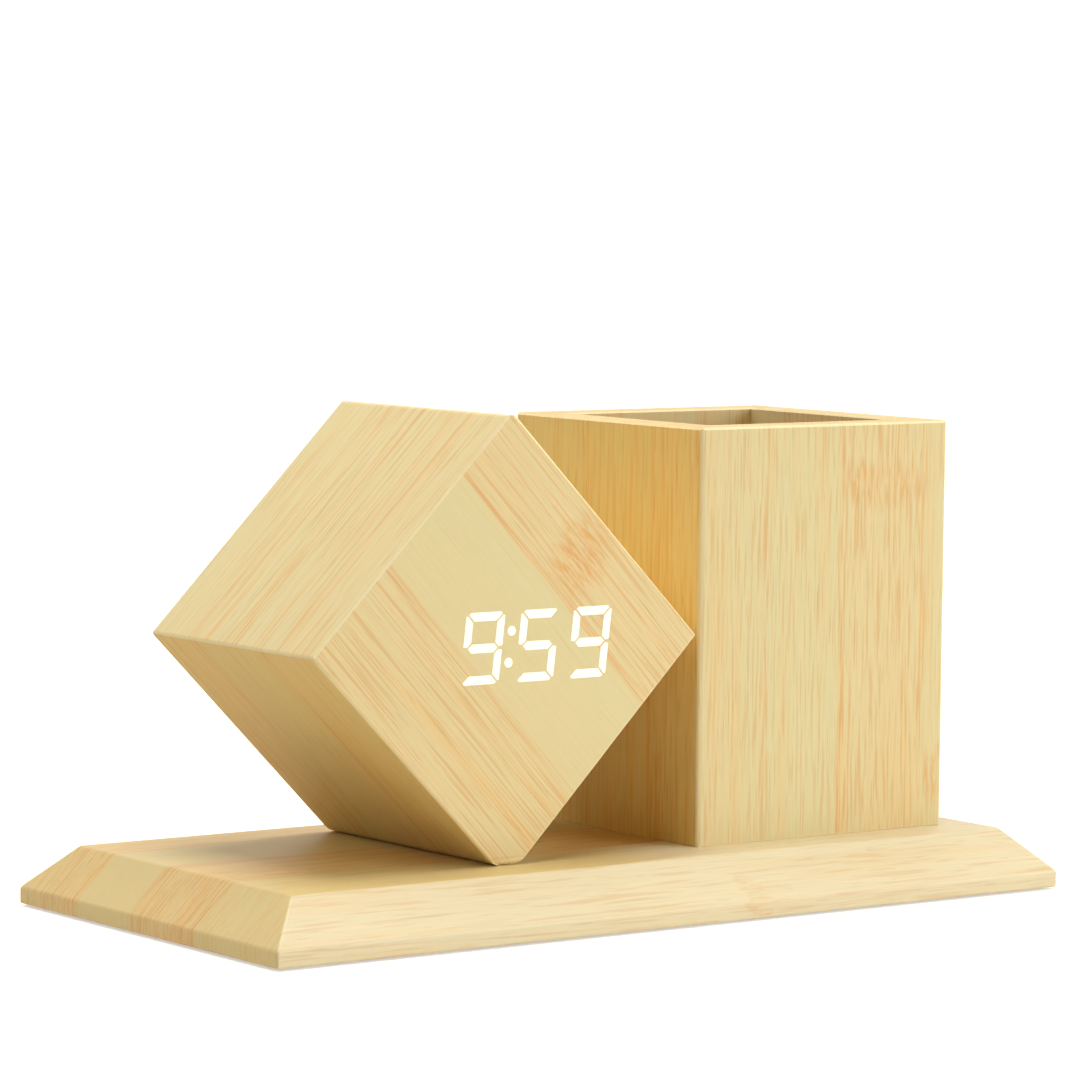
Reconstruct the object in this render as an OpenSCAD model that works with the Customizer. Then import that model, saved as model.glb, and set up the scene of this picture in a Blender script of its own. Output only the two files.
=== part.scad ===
// Desk clock with pen holder.
// A square clock case stands on one long edge beside an open pen holder, on a bevelled bamboo board.
// Millimetres. +X runs right to the holder, +Y to the back, +Z up, with the origin under the middle.

/* [Base board] */
// Length of the base board
base_l = 200; // [190:1:240]
// Width of the base board, front to back
base_w = 98; // [94:1:130]
// Thickness of the base board
base_t = 12.5; // [10:0.5:18]
// Height of the upright edge under the bevel
base_edge_h = 3.5; // [2:0.5:6]
// Width of the bevel, seen from above
bevel_w = 9; // [4:0.5:12]

/* [Foot pads] */
// Diameter of a foot pad
pad_d = 12; // [8:1:16]
// Thickness of a foot pad
pad_t = 1.5; // [1:0.1:3]
// Height of a foot pad that stands out of the underside
pad_proud = 0.5; // [0.3:0.1:0.9]
// Distance from the board's edges to a foot pad's centre
pad_inset = 14; // [10:1:20]

/* [Pen holder] */
// Width of the holder, left to right
holder_w = 67; // [50:1:72]
// Depth of the holder, front to back
holder_d = 66; // [50:1:69]
// Height of the holder above the board
holder_h = 87.5; // [60:0.5:120]
// Thickness of the holder's walls
holder_wall = 8; // [4:0.5:10]
// Thickness of the holder's floor
holder_floor_t = 8; // [7:0.5:14]
// Radius of the holder's upright outer edges
holder_edge_r = 1.2; // [0.5:0.1:3]
// Distance from the board's right end to the holder
holder_end_gap = 16.7; // [12:0.1:20]
// Distance from the board's front edge to the front faces of the holder and the clock
front_setback = 19; // [12:0.5:20]

/* [Clock case] */
// Side of the case's square section
case_side = 67.5; // [67:0.5:72]
// Depth of the case, front to back
case_depth = 60.5; // [54:0.5:70]
// Thickness of the case's boards
case_wall = 7; // [5.5:0.5:7]
// Width of the flat planed along the bottom edge
case_flat = 6.4; // [4:0.2:9]
// Radius of the top edge
case_top_r = 2.2; // [1:0.1:4]
// Radius of the left and right edges
case_side_r = 0.8; // [0.3:0.1:2]
// Gap between the clock's right edge and the holder
clock_gap = 1; // [0.3:0.1:6]
// Side of the square corner blocks in the case
block_side = 8; // [7:0.5:8.5]
// Length of the short corner blocks
block_l = 16; // [12:1:20]
// Length of the block along the bottom edge
bottom_block_l = 40; // [36:1:42]

/* [Display] */
// Height of a digit
digit_h = 14.6; // [12:0.1:16]
// Width of a digit
digit_w = 9.6; // [8:0.1:10]
// Width of a lit bar
bar_t = 1.8; // [1.4:0.1:2.2]
// Gap between neighbouring bars
bar_gap = 0.4; // [0.15:0.05:0.6]
// Cut at a digit's outer corners
digit_corner = 0.8; // [0.4:0.1:1]
// Lean of the digits, in degrees
digit_lean = 6.5; // [0:0.5:10]
// Distance between the two digits of a pair
digit_pitch = 13.2; // [12:0.1:13.4]
// Distance between the two digits beside the colon
centre_pitch = 13.6; // [13:0.1:14.4]
// Diameter of a colon dot
colon_d = 2; // [1.4:0.1:2.2]
// Height of the upper colon dot above the middle
colon_rise = 3.2; // [2:0.1:5]
// Depth of the lit bars in the face
lit_depth = 0.4; // [0.2:0.1:0.6]
// Thickness of the wood left in front of the display
face_skin = 1; // [0.8:0.1:1.5]
// Thickness of the diffuser film
film_t = 0.3; // [0.2:0.1:0.6]
// Margin of the reflector around the digits
reflector_margin = 0.6; // [0.5:0.1:0.8]
// Thickness of the display board
display_board_t = 1.6; // [1:0.1:2]

/* [Back cover] */
// Depth of the cover's face inside the case's rear edges
cover_recess = 1.5; // [1.2:0.1:4]
// Thickness of the cover
cover_t = 2.6; // [2.5:0.1:3.2]
// Gap between the cover and the case boards
cover_fit = 0.2; // [0.1:0.05:0.4]
// Thickness of the battery bay's walls
bay_wall = 1.2; // [1:0.1:1.4]
// Width of the ledge under the battery door
door_ledge = 0.8; // [0.5:0.1:0.8]
// Least width of the cover past each end of the battery door
cover_rim = 2.4; // [2:0.1:2.5]
// Thickness of the battery door
door_t = 2; // [1.8:0.1:2.1]
// Radius of the door's hinge pins
door_pin_r = 0.5; // [0.4:0.05:0.6]
// Length of a hinge pin in the cover
door_pin_l = 0.9; // [0.6:0.1:1]
// Running clearance of a hinge pin
pin_fit = 0.08; // [0.05:0.01:0.1]
// Radius of the finger notch at the door
notch_r = 4; // [3:0.5:4.5]
// Depth of the finger notch
notch_depth = 1.2; // [0.8:0.1:1.4]

/* [Battery cells] */
// Diameter of a cell
cell_d = 10.5; // [9.8:0.1:10.6]
// Length of a cell with its nub
cell_l = 44.5; // [42:0.1:45]
// Room between neighbouring cells
cell_play = 0.3; // [0.2:0.1:0.3]
// Room for a contact at each end of a cell
contact_room = 1; // [0.8:0.1:1.1]
// Thickness of a contact plate
contact_t = 0.4; // [0.3:0.1:0.5]

/* [Buttons and switch] */
// Diameter of a button
button_d = 5.5; // [4:0.1:5.8]
// Height of a button above the cover
button_proud = 1; // [0.8:0.1:1.2]
// Travel of a button
button_travel = 0.8; // [0.4:0.1:1]
// Distance between buttons
button_pitch = 9; // [7.5:0.1:9.4]
// Diameter of a button's stem
stem_d = 3; // [2:0.1:3.4]
// Side of a tact switch
tact_side = 6; // [5:0.1:6.2]
// Height of a tact switch
tact_h = 4; // [3:0.1:4.4]
// Width of the switch knob along its travel
knob_w = 3; // [2:0.1:3.4]
// Width of the switch knob across its travel
knob_d = 2.2; // [1.6:0.1:2.6]
// Height of the switch knob above the cover
knob_proud = 0.6; // [0.4:0.1:1]
// Travel of the switch knob
knob_travel = 2; // [1:0.1:2.4]
// Clearance around moving pieces
run_gap = 0.3; // [0.25:0.05:0.4]

/* [Boards and inlet] */
// Margin of the small boards past their screws
post_margin = 2.3; // [2:0.1:3]
// Radius of the posts that carry the small boards
post_r = 1.8; // [1.6:0.1:2]
// Width of the button board and the power board
strip_w = 8.4; // [8:0.1:8.6]
// Thickness of the button board and the power board
strip_t = 1.2; // [0.8:0.1:1.6]
// Distance from the cover's inner face to the small boards
strip_drop = 6.4; // [6.2:0.1:8]
// Width of the power inlet
inlet_w = 8.94; // [7:0.01:9.4]
// Height of the power inlet
inlet_h = 3.16; // [2.5:0.01:3.6]
// Wall of the power inlet
inlet_wall = 0.3; // [0.2:0.05:0.4]
// Distance from the middle to the inlet and to the slide switch
inlet_offset = 7; // [6:0.1:7.4]
// Width of a ribbon
ribbon_w = 12; // [8:0.5:13]
// Thickness of a ribbon
ribbon_t = 0.8; // [0.6:0.1:1.2]

/* [Screws] */
// Shank radius of the wood screws
wood_screw_r = 1.7; // [1.2:0.1:2]
// Head radius of the wood screws
wood_head_r = 3.6; // [3:0.1:4]
// Depth of a wood screw in the piece that it holds
wood_grip = 6.5; // [4:0.5:6.5]
// Distance between the two holder screws
holder_screw_pitch = 27; // [16:1:32]
// Distance from a case screw to the end of its block or to the cover screw
case_screw_inset = 6; // [4:0.5:8]
// Shank radius of the cover screws
cover_screw_r = 1.1; // [0.8:0.1:1.3]
// Head radius of the cover screws
cover_head_r = 2.3; // [1.8:0.1:2.6]
// Length of the cover screws
cover_screw_l = 10; // [8:0.5:12]
// Shank radius of the screws in the boards
board_screw_r = 0.8; // [0.6:0.1:1]
// Head radius of the screws in the boards
board_head_r = 1.5; // [1.2:0.1:1.8]
// Gap between a screw and its hole
screw_fit = 0.1; // [0.05:0.05:0.2]

/* [Hidden] */

$fn = 48;
cut = 0.01;
big = 2 * (base_l + base_w);

// Colours
bamboo = [0.91, 0.82, 0.62];
bamboo_shade = [0.86, 0.74, 0.50];
lit_white = [1, 0.99, 0.93];
board_green = [0.10, 0.35, 0.20];
dark_plastic = [0.13, 0.13, 0.14];
steel = [0.72, 0.73, 0.75];

// Length of the battery bay, and the case's side, which grows where longer cells need it
bay_l = cell_l + 2 * contact_room;
door_l = bay_l + 2 * door_ledge;
case_full = max(case_side, door_l + 2 * (cover_rim + cover_fit + case_wall));

// Places of the main pieces
base_top = pad_proud + base_t;
front_y = -base_w / 2 + front_setback;
holder_x1 = base_l / 2 - holder_end_gap;
holder_x0 = holder_x1 - holder_w;
holder_y1 = front_y + holder_d;
corner_ease = case_side_r * (sqrt(2) - 1);
clock_x = holder_x0 - clock_gap - (case_full / sqrt(2) - corner_ease);
clock_z = base_top + case_full / sqrt(2) - case_flat / 2;
case_half = case_full / 2;
case_inner = case_full - 2 * case_wall;

// Levels in the case, as depths behind the front face
display_y = case_wall;
display_back = display_y + display_board_t;
cover_out = case_depth - cover_recess;
cover_in = cover_out - cover_t;
strip_out = cover_in - strip_drop;
strip_in = strip_out - strip_t;

// Display block
digit_places = [
    -centre_pitch / 2 - digit_pitch, -centre_pitch / 2, centre_pitch / 2, centre_pitch / 2 + digit_pitch
];
shown = ["", "abcdfg", "acdfg", "abcdfg"];
lean_shift = tan(digit_lean) * digit_h / 2;
reflector_w = 2 * (digit_places[3] + digit_w / 2 + lean_shift + reflector_margin);
reflector_h = digit_h + 2 * reflector_margin;
reflector_fit = 0.2;
display_side = case_inner - 2 * cover_fit;
display_screw_inset = 4.5;
display_screw_at = case_inner / 2 - display_screw_inset;
display_screw_grip = 4;

// Battery bay
cell_pitch = cell_d + cell_play;
bay_w = 3 * cell_pitch;
door_w = bay_w + 2 * door_ledge;
door_in = cover_out - door_t;
cell_y = door_in - run_gap - cell_d / 2;
cell_seat = 0.15;
bay_floor_in = cell_y - cell_d / 2 - cell_seat;
hinge_y = cover_out - door_t / 2;
hinge_z = door_w / 2 - door_t / 2;
nub_l = 0.8;
nub_r = 1.9;

// Strips beside the battery bay for the buttons and the inlet
tray_half = bay_w / 2 + bay_wall;
strip_z = (tray_half + case_inner / 2) / 2;
flange_t = 0.8;
flange_rim = 0.8;
post_x = button_pitch + button_d / 2 + flange_rim + run_gap + post_r;
strip_l = 2 * (post_x + post_margin);
post_bore_l = 3.5;
strip_screw_grip = 3;
strip_screw_l = strip_t + strip_screw_grip;

// Buttons and slide switch
flange_out = cover_in - run_gap;
tact_top = strip_out + tact_h;
stem_tip = tact_top - run_gap;
well_floor = stem_tip - button_travel - run_gap;
knob_x = inlet_offset + knob_travel / 2;
knob_body_w = 9;
knob_body_d = 4.6;
knob_body_h = 4;
knob_sink = 1.2;
slot_l = knob_w + knob_travel + 2 * run_gap;
slot_d = knob_d + 2 * run_gap;

// Sound holes
sound_hole_r = 0.6;
sound_hole_pitch = 1.5;
sound_hole_z = case_inner / 2 - 2.4;

// Screws
wood_head_h = 2.2;
wood_recess = 0.5;
wood_seat = pad_proud + wood_recess;
case_corner_h = case_wall * sqrt(2) - case_flat / 2;
case_screw_l = base_top - wood_seat + case_corner_h + wood_grip;
holder_screw_l = base_top - wood_seat + wood_grip;
case_screw_depths = [
    cover_in - bottom_block_l + case_screw_inset, cover_out - cover_screw_l - case_screw_inset
];
case_screw_places = [for (depth = case_screw_depths) [clock_x, front_y + depth]];
holder_mid = [(holder_x0 + holder_x1) / 2, (front_y + holder_y1) / 2];
holder_screw_places = [for (side = [-1, 1]) holder_mid + [side * holder_screw_pitch / 2, 0]];
block_at = case_inner / 2 - block_side / 2;
cover_head_h = 1.4;
pan_head_h = 1.2;

// Frames: the level one at the middle of the clock's face, and the one turned with the case
module in_clock() { translate([clock_x, front_y, clock_z]) children(); }
module in_case() { in_clock() rotate([0, 45, 0]) children(); }

// A flat shape drawn in X and Z, raised from depth y0 towards the back
module raised(y0, len) { translate([0, y0 + len, 0]) rotate([90, 0, 0]) linear_extrude(len) children(); }

// A box given by its middle in X and Z, its sides, and its depths
module slab(x, z, w, h, y0, y1) { translate([x - w / 2, y0, z - h / 2]) cube([w, y1 - y0, h]); }

// A round bar along the depth
module rod(x, z, r, y0, y1) { translate([x, y1, z]) rotate([90, 0, 0]) cylinder(r = r, h = y1 - y0); }

// Countersunk screw along +Z, with the wide end of its head at zero
module flat_screw(len, r, head_r, head_h) {
    cylinder(r1 = head_r, r2 = r, h = head_h);
    cylinder(r = r, h = len);
}

// Hole for that screw, open below its head
module flat_screw_hole(len, r, head_r, head_h, sink) {
    flat_screw(len + screw_fit, r + screw_fit, head_r + screw_fit, head_h + screw_fit);
    translate([0, 0, -sink]) cylinder(r = head_r + screw_fit, h = sink + cut);
}

// Screw with a round flat head, pointing to the front from depth y
module pan_screw(x, z, y, len) {
    rod(x, z, board_head_r, y, y + pan_head_h);
    rod(x, z, board_screw_r, y - len, y + cut);
}

// The same screw pointing to the back
module pan_screw_back(x, z, y, len) {
    rod(x, z, board_head_r, y - pan_head_h, y);
    rod(x, z, board_screw_r, y - cut, y + len);
}

// Base board

// The half space above a bevel along the right edge, for a board that reaches half_l to the right
module bevel_cut(half_l) {
    translate([half_l, 0, pad_proud + base_edge_h])
        rotate([0, -90 + atan2(bevel_w, base_t - base_edge_h), 0])
        translate([0, -big / 2, -big / 2]) cube(big);
}

module pad_places() {
    for (sx = [-1, 1], sy = [-1, 1])
        translate([sx * (base_l / 2 - pad_inset), sy * (base_w / 2 - pad_inset), 0]) children();
}

module base_screw_holes(sink) {
    for (p = case_screw_places) translate([p[0], p[1], wood_seat])
        flat_screw_hole(case_screw_l, wood_screw_r, wood_head_r, wood_head_h, sink);
    for (p = holder_screw_places) translate([p[0], p[1], wood_seat])
        flat_screw_hole(holder_screw_l, wood_screw_r, wood_head_r, wood_head_h, sink);
}

module base_board() {
    color(bamboo) difference() {
        translate([-base_l / 2, -base_w / 2, pad_proud]) cube([base_l, base_w, base_t]);
        for (turn = [0, 180]) rotate([0, 0, turn]) bevel_cut(base_l / 2);
        for (turn = [90, 270]) rotate([0, 0, turn]) bevel_cut(base_w / 2);
        pad_places() translate([0, 0, -cut]) cylinder(d = pad_d, h = pad_t + cut);
        base_screw_holes(base_t);
    }
}

module foot_pads() { color(dark_plastic) pad_places() cylinder(d = pad_d, h = pad_t); }

// Pen holder

// Rectangle with rounded corners, from one corner to the other
module round_rect(x0, y0, x1, y1, r) {
    translate([x0 + r, y0]) square([x1 - x0 - 2 * r, y1 - y0]);
    translate([x0, y0 + r]) square([x1 - x0, y1 - y0 - 2 * r]);
    for (x = [x0 + r, x1 - r], y = [y0 + r, y1 - r]) translate([x, y]) circle(r);
}

// One mitred wall: the part of the holder's plan inside an outline
module holder_wall_from(outline) {
    color(bamboo) translate([0, 0, base_top]) linear_extrude(holder_h) intersection() {
        round_rect(holder_x0, front_y, holder_x1, holder_y1, holder_edge_r);
        polygon(outline);
    }
}

holder_outer = [
    [holder_x0, front_y], [holder_x1, front_y], [holder_x1, holder_y1], [holder_x0, holder_y1]
];
holder_inner = [
    for (i = [0 : 3])
        holder_outer[i] + holder_wall * [(i == 0 || i == 3) ? 1 : -1, (i < 2) ? 1 : -1]
];
function wall_outline(i) =
    let (j = (i + 1) % 4) [holder_outer[i], holder_outer[j], holder_inner[j], holder_inner[i]];

module holder_front_wall() { holder_wall_from(wall_outline(0)); }
module holder_right_wall() { holder_wall_from(wall_outline(1)); }
module holder_back_wall() { holder_wall_from(wall_outline(2)); }
module holder_left_wall() { holder_wall_from(wall_outline(3)); }

module holder_floor() {
    color(bamboo_shade) difference() {
        translate([0, 0, base_top]) linear_extrude(holder_floor_t) polygon(holder_inner);
        base_screw_holes(0);
    }
}

module holder_screws() {
    color(steel) for (p = holder_screw_places) translate([p[0], p[1], wood_seat])
        flat_screw(holder_screw_l, wood_screw_r, wood_head_r, wood_head_h);
}

// Clock case

// What is taken off the corner of a section to round it
module corner_off(x, z, r) {
    inner = [x - sign(x) * r, z - sign(z) * r];
    difference() {
        translate([x, z]) square(2 * r, center = true);
        translate(inner) circle(r);
    }
}

// Section of the case: round top and side edges, and a flat along the bottom edge
module case_outline() {
    h = case_half;
    leg = case_flat / sqrt(2);
    difference() {
        polygon([[-h, h], [h, h], [h, -h + leg], [h - leg, -h], [-h, -h]]);
        corner_off(-h, h, case_top_r);
        for (s = [-1, 1]) corner_off(s * h, s * h, case_side_r);
    }
}

// The half space in front of the mitre between the front panel and the upper right board
module mitre_front() {
    translate([0, 0, case_half]) rotate([-45, 0, 0]) translate([-big / 2, -big / 2, -big]) cube(big);
}

// The half space behind that mitre
module mitre_behind() {
    translate([0, 0, case_half]) rotate([-45, 0, 0]) translate([-big / 2, -big / 2, 0]) cube(big);
}

// One of the four case boards: 0 is upper right, then round to the left
module case_board(turn) {
    color(bamboo) difference() {
        in_case() difference() {
            raised(0, case_depth) difference() {
                intersection() {
                    case_outline();
                    rotate(90 * turn) polygon([[0, 0], [case_full, case_full], [-case_full, case_full]]);
                }
                square(case_inner, center = true);
            }
            rotate([0, -90 * turn, 0]) mitre_front();
        }
        base_screw_holes(0);
    }
}

module case_upper_right_board() { case_board(0); }
module case_upper_left_board() { case_board(1); }
module case_lower_left_board() { case_board(2); }
module case_lower_right_board() { case_board(3); }

module front_panel() {
    color(bamboo) difference() {
        in_case() difference() {
            raised(0, case_wall) case_outline();
            for (turn = [0 : 3]) rotate([0, -90 * turn, 0]) mitre_behind();
            display_screw_places() rod(0, 0, board_screw_r + screw_fit, display_y - display_screw_grip, big);
        }
        in_clock() {
            slab(0, 0, reflector_w + 2 * reflector_fit, reflector_h + 2 * reflector_fit, face_skin, big);
            raised(-cut, lit_depth + cut) lit_shapes();
        }
    }
}

module corner_block(sx, sz, len) {
    slab(sx * block_at, sz * block_at, block_side, block_side, cover_in - len, cover_in);
}

module cover_screw_place(sx, sz) {
    translate([sx * block_at, cover_out, sz * block_at]) rotate([90, 0, 0]) children();
}

module cover_screw_hole(sx, sz) {
    cover_screw_place(sx, sz) flat_screw_hole(cover_screw_l, cover_screw_r, cover_head_r, cover_head_h, cut);
}

module corner_blocks() {
    color(bamboo_shade) in_case() for (c = [[-1, 1], [1, 1], [-1, -1]]) difference() {
        corner_block(c[0], c[1], block_l);
        cover_screw_hole(c[0], c[1]);
    }
}

module bottom_block() {
    color(bamboo_shade) difference() {
        in_case() difference() {
            corner_block(1, -1, bottom_block_l);
            cover_screw_hole(1, -1);
        }
        base_screw_holes(0);
    }
}

module case_screws() {
    color(steel) for (p = case_screw_places) translate([p[0], p[1], wood_seat])
        flat_screw(case_screw_l, wood_screw_r, wood_head_r, wood_head_h);
}

// Display

// Outlines of the bars of an upright digit about its middle
half_w = digit_w / 2;
half_h = digit_h / 2;
mitre_gap = bar_gap / sqrt(2);
top_bar = [
    [-half_w + digit_corner + mitre_gap, half_h], [half_w - digit_corner - mitre_gap, half_h],
    [half_w - digit_corner / 2 - mitre_gap, half_h - digit_corner / 2],
    [half_w - bar_t - mitre_gap, half_h - bar_t], [-half_w + bar_t + mitre_gap, half_h - bar_t],
    [-half_w + digit_corner / 2 + mitre_gap, half_h - digit_corner / 2]
];
middle_bar = [
    [-half_w + bar_t / 2 + mitre_gap, 0], [-half_w + bar_t + mitre_gap, bar_t / 2],
    [half_w - bar_t - mitre_gap, bar_t / 2], [half_w - bar_t / 2 - mitre_gap, 0],
    [half_w - bar_t - mitre_gap, -bar_t / 2], [-half_w + bar_t + mitre_gap, -bar_t / 2]
];
side_bar = [
    [half_w, half_h - digit_corner], [half_w, bar_t / 4], [half_w - bar_t / 2, mitre_gap],
    [half_w - bar_t, bar_t / 2 + mitre_gap], [half_w - bar_t, half_h - bar_t - mitre_gap],
    [half_w - digit_corner / 2, half_h - digit_corner / 2 - mitre_gap]
];
function flipped(points, sx, sz) = [for (p = points) [p[0] * sx, p[1] * sz]];
function leaned(p) = [p[0] + p[1] * tan(digit_lean), p[1]];
function bar_points(bar) =
    bar == "a" ? top_bar
    : bar == "b" ? side_bar
    : bar == "c" ? flipped(side_bar, 1, -1)
    : bar == "d" ? flipped(top_bar, 1, -1)
    : bar == "e" ? flipped(side_bar, -1, -1)
    : bar == "f" ? flipped(side_bar, -1, 1)
    : middle_bar;
function bar_middle(bar) = let (points = bar_points(bar)) leaned((points[0] + points[3]) / 2);

module digit_bars(bars) { for (bar = bars) polygon([for (p = bar_points(bar)) leaned(p)]); }
module colon_dots() { for (s = [-1, 1]) translate(leaned([0, s * colon_rise])) circle(d = colon_d); }

module lit_shapes() {
    for (i = [0 : 3]) translate([digit_places[i], 0]) digit_bars(shown[i]);
    colon_dots();
}

module lit_bars() { color(lit_white) in_clock() raised(0, lit_depth) lit_shapes(); }

module diffuser_film() {
    color([0.95, 0.95, 0.93]) in_clock() slab(0, 0, reflector_w, reflector_h, face_skin, face_skin + film_t);
}

module segment_reflector() {
    color([0.9, 0.9, 0.9]) in_clock() difference() {
        slab(0, 0, reflector_w, reflector_h, face_skin + film_t, display_y);
        raised(face_skin, case_wall) {
            for (x = digit_places) translate([x, 0]) digit_bars("abcdefg");
            colon_dots();
        }
    }
}

module segment_leds() {
    led_w = 1;
    led_t = 0.7;
    color([1, 0.95, 0.75]) in_clock() {
        for (x = digit_places, bar = "abcdefg") let (p = bar_middle(bar))
            slab(x + p[0], p[1], led_w, led_w, display_y - led_t, display_y);
        for (s = [-1, 1]) let (p = leaned([0, s * colon_rise]))
            slab(p[0], p[1], led_w, led_w, display_y - led_t, display_y);
    }
}

module display_screw_places() {
    for (sx = [-1, 1], sz = [-1, 1]) translate([sx * display_screw_at, 0, sz * display_screw_at]) children();
}

module display_board() {
    color(board_green) in_case() difference() {
        slab(0, 0, display_side, display_side, display_y, display_back);
        display_screw_places() rod(0, 0, board_screw_r + screw_fit, 0, big);
    }
}

module display_screws() {
    color(steel) in_case() display_screw_places()
        pan_screw(0, 0, display_back, display_board_t + display_screw_grip - screw_fit);
}

// Parts on the back of the display board
chip_side = 10;
chip_t = 1.6;
chip_x = -13;
crystal_r = 1;
crystal_l = 6;
crystal_x = -3;
buzzer_r = 6;
buzzer_h = 7;
buzzer_x = 13;
socket_h = 5;
socket_d = 5;
socket_z = 14;

module control_chip() {
    color(dark_plastic) in_case() slab(chip_x, 0, chip_side, chip_side, display_back, display_back + chip_t);
}

module clock_crystal() {
    color(steel) in_case() translate([crystal_x, display_back + crystal_r, 0])
        cylinder(r = crystal_r, h = crystal_l, center = true);
}

module buzzer() {
    color(dark_plastic) in_case() rod(buzzer_x, 0, buzzer_r, display_back, display_back + buzzer_h);
}

module ribbon_sockets() {
    color([0.93, 0.92, 0.86]) in_case() for (s = [-1, 1])
        slab(0, s * socket_z, ribbon_w + 2, socket_d, display_back, display_back + socket_h);
}

// A flat ribbon from its socket back to a small board beside the battery bay
module ribbon(side) {
    start = display_back + socket_h;
    run = (strip_in - start) / 5;
    path = [[start, socket_z], [start + run, socket_z], [strip_in - 2 * run, strip_z], [strip_in, strip_z]];
    edge = concat(
        [for (p = path) p + [0, ribbon_t / 2]],
        [for (i = [len(path) - 1 : -1 : 0]) path[i] - [0, ribbon_t / 2]]
    );
    color([0.6, 0.6, 0.62]) in_case() mirror([0, 0, side < 0 ? 1 : 0])
        rotate([90, 0, 90]) translate([0, 0, -ribbon_w / 2]) linear_extrude(ribbon_w) polygon(edge);
}

module button_ribbon() { ribbon(1); }
module power_ribbon() { ribbon(-1); }

// Back cover

module stadium(w, h) {
    square([w - h, h], center = true);
    for (s = [-1, 1]) translate([s * (w - h) / 2, 0]) circle(d = h);
}

module post_places() {
    for (sx = [-1, 1], sz = [-1, 1]) translate([sx * post_x, 0, sz * strip_z]) children();
}

module back_cover() {
    cover_side = case_inner - 2 * cover_fit;
    color(dark_plastic) in_case() difference() {
        union() {
            slab(0, 0, cover_side, cover_side, cover_in, cover_out);
            slab(0, 0, bay_l + 2 * bay_wall, bay_w + 2 * bay_wall, bay_floor_in - bay_wall, cover_out);
            post_places() rod(0, 0, post_r, strip_out, cover_in + cut);
        }
        slab(0, 0, bay_l, bay_w, bay_floor_in, big);
        slab(0, 0, door_l + 2 * run_gap, door_w + 2 * run_gap, door_in - run_gap, big);
        translate([0, hinge_y, hinge_z]) rotate([0, 90, 0])
            cylinder(r = door_pin_r + pin_fit, h = door_l + 2 * (2 * run_gap + door_pin_l), center = true);
        rod(0, -door_w / 2 - run_gap, notch_r, cover_out - notch_depth, big);
        post_places() rod(0, 0, board_screw_r + screw_fit, strip_out - cut, strip_out + post_bore_l);
        for (i = [-1 : 1]) rod(i * button_pitch, strip_z, button_d / 2 + run_gap, cover_in - cut, big);
        translate([-inlet_offset, 0, -strip_z]) raised(cover_in - cut, big)
            stadium(inlet_w + 2 * run_gap, inlet_h + 2 * run_gap);
        slab(inlet_offset, -strip_z, slot_l, slot_d, cover_in - cut, big);
        for (i = [-1 : 1]) rod(i * sound_hole_pitch, -sound_hole_z, sound_hole_r, cover_in - cut, big);
        for (sx = [-1, 1], sz = [-1, 1]) cover_screw_hole(sx, sz);
    }
}

module cover_screws() {
    cross_w = 0.7;
    cross_l = 3;
    cross_d = 0.7;
    color(steel) in_case() for (sx = [-1, 1], sz = [-1, 1]) cover_screw_place(sx, sz) difference() {
        flat_screw(cover_screw_l, cover_screw_r, cover_head_r, cover_head_h);
        for (turn = [0, 90]) rotate(turn) translate([-cross_l / 2, -cross_w / 2, -cut])
            cube([cross_l, cross_w, cross_d + cut]);
    }
}

module battery_door() {
    grip_w = 12;
    grip_h = 0.8;
    grip_d = 0.5;
    grip_pitch = 2;
    grip_start = 4;
    color(dark_plastic) in_case() difference() {
        union() {
            translate([-door_l / 2, door_in, -door_w / 2]) cube([door_l, door_t, door_w / 2 + hinge_z]);
            translate([0, hinge_y, hinge_z]) rotate([0, 90, 0]) {
                cylinder(d = door_t, h = door_l, center = true);
                cylinder(r = door_pin_r, h = door_l + 2 * (run_gap + door_pin_l), center = true);
            }
        }
        for (i = [0 : 2])
            slab(0, -door_w / 2 + grip_start + i * grip_pitch, grip_w, grip_h, cover_out - grip_d, big);
    }
}

module cell_places() {
    for (i = [-1 : 1]) translate([0, cell_y, i * cell_pitch]) rotate([0, i == 0 ? -90 : 90, 0]) children();
}

module battery_cells() {
    color([0.75, 0.55, 0.2]) in_case() cell_places() {
        translate([0, 0, -cell_l / 2]) cylinder(d = cell_d, h = cell_l - nub_l);
        translate([0, 0, -cell_l / 2]) cylinder(r = nub_r, h = cell_l);
    }
}

module battery_contacts() {
    plate = 8;
    bump_r = 1.5;
    bump_gap = 0.1;
    color(steel) in_case() for (i = [-1 : 1], side = [-1, 1])
        translate([side * bay_l / 2, cell_y, i * cell_pitch]) rotate([0, -90 * side, 0]) {
            translate([-plate / 2, -plate / 2, 0]) cube([plate, plate, contact_t]);
            cylinder(r = bump_r, h = contact_room - bump_gap);
        }
}

// Buttons

module push_button(place) {
    x = place * button_pitch;
    color([0.25, 0.25, 0.27]) in_case() {
        rod(x, strip_z, button_d / 2, flange_out - cut, cover_out + button_proud);
        rod(x, strip_z, button_d / 2 + flange_rim, flange_out - flange_t, flange_out);
        rod(x, strip_z, stem_d / 2, stem_tip, flange_out);
    }
}

module set_button() { push_button(-1); }
module up_button() { push_button(0); }
module down_button() { push_button(1); }

module strip_board(z) {
    color(board_green) in_case() difference() {
        slab(0, z, strip_l, strip_w, strip_in, strip_out);
        for (sx = [-1, 1]) rod(sx * post_x, z, board_screw_r + screw_fit, 0, big);
    }
}

module button_board() { strip_board(strip_z); }
module power_board() { strip_board(-strip_z); }

module tact_switches() {
    color(dark_plastic) in_case() for (i = [-1 : 1]) difference() {
        slab(i * button_pitch, strip_z, tact_side, tact_side, strip_out, tact_top);
        rod(i * button_pitch, strip_z, stem_d / 2 + run_gap, well_floor, big);
    }
}

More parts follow.
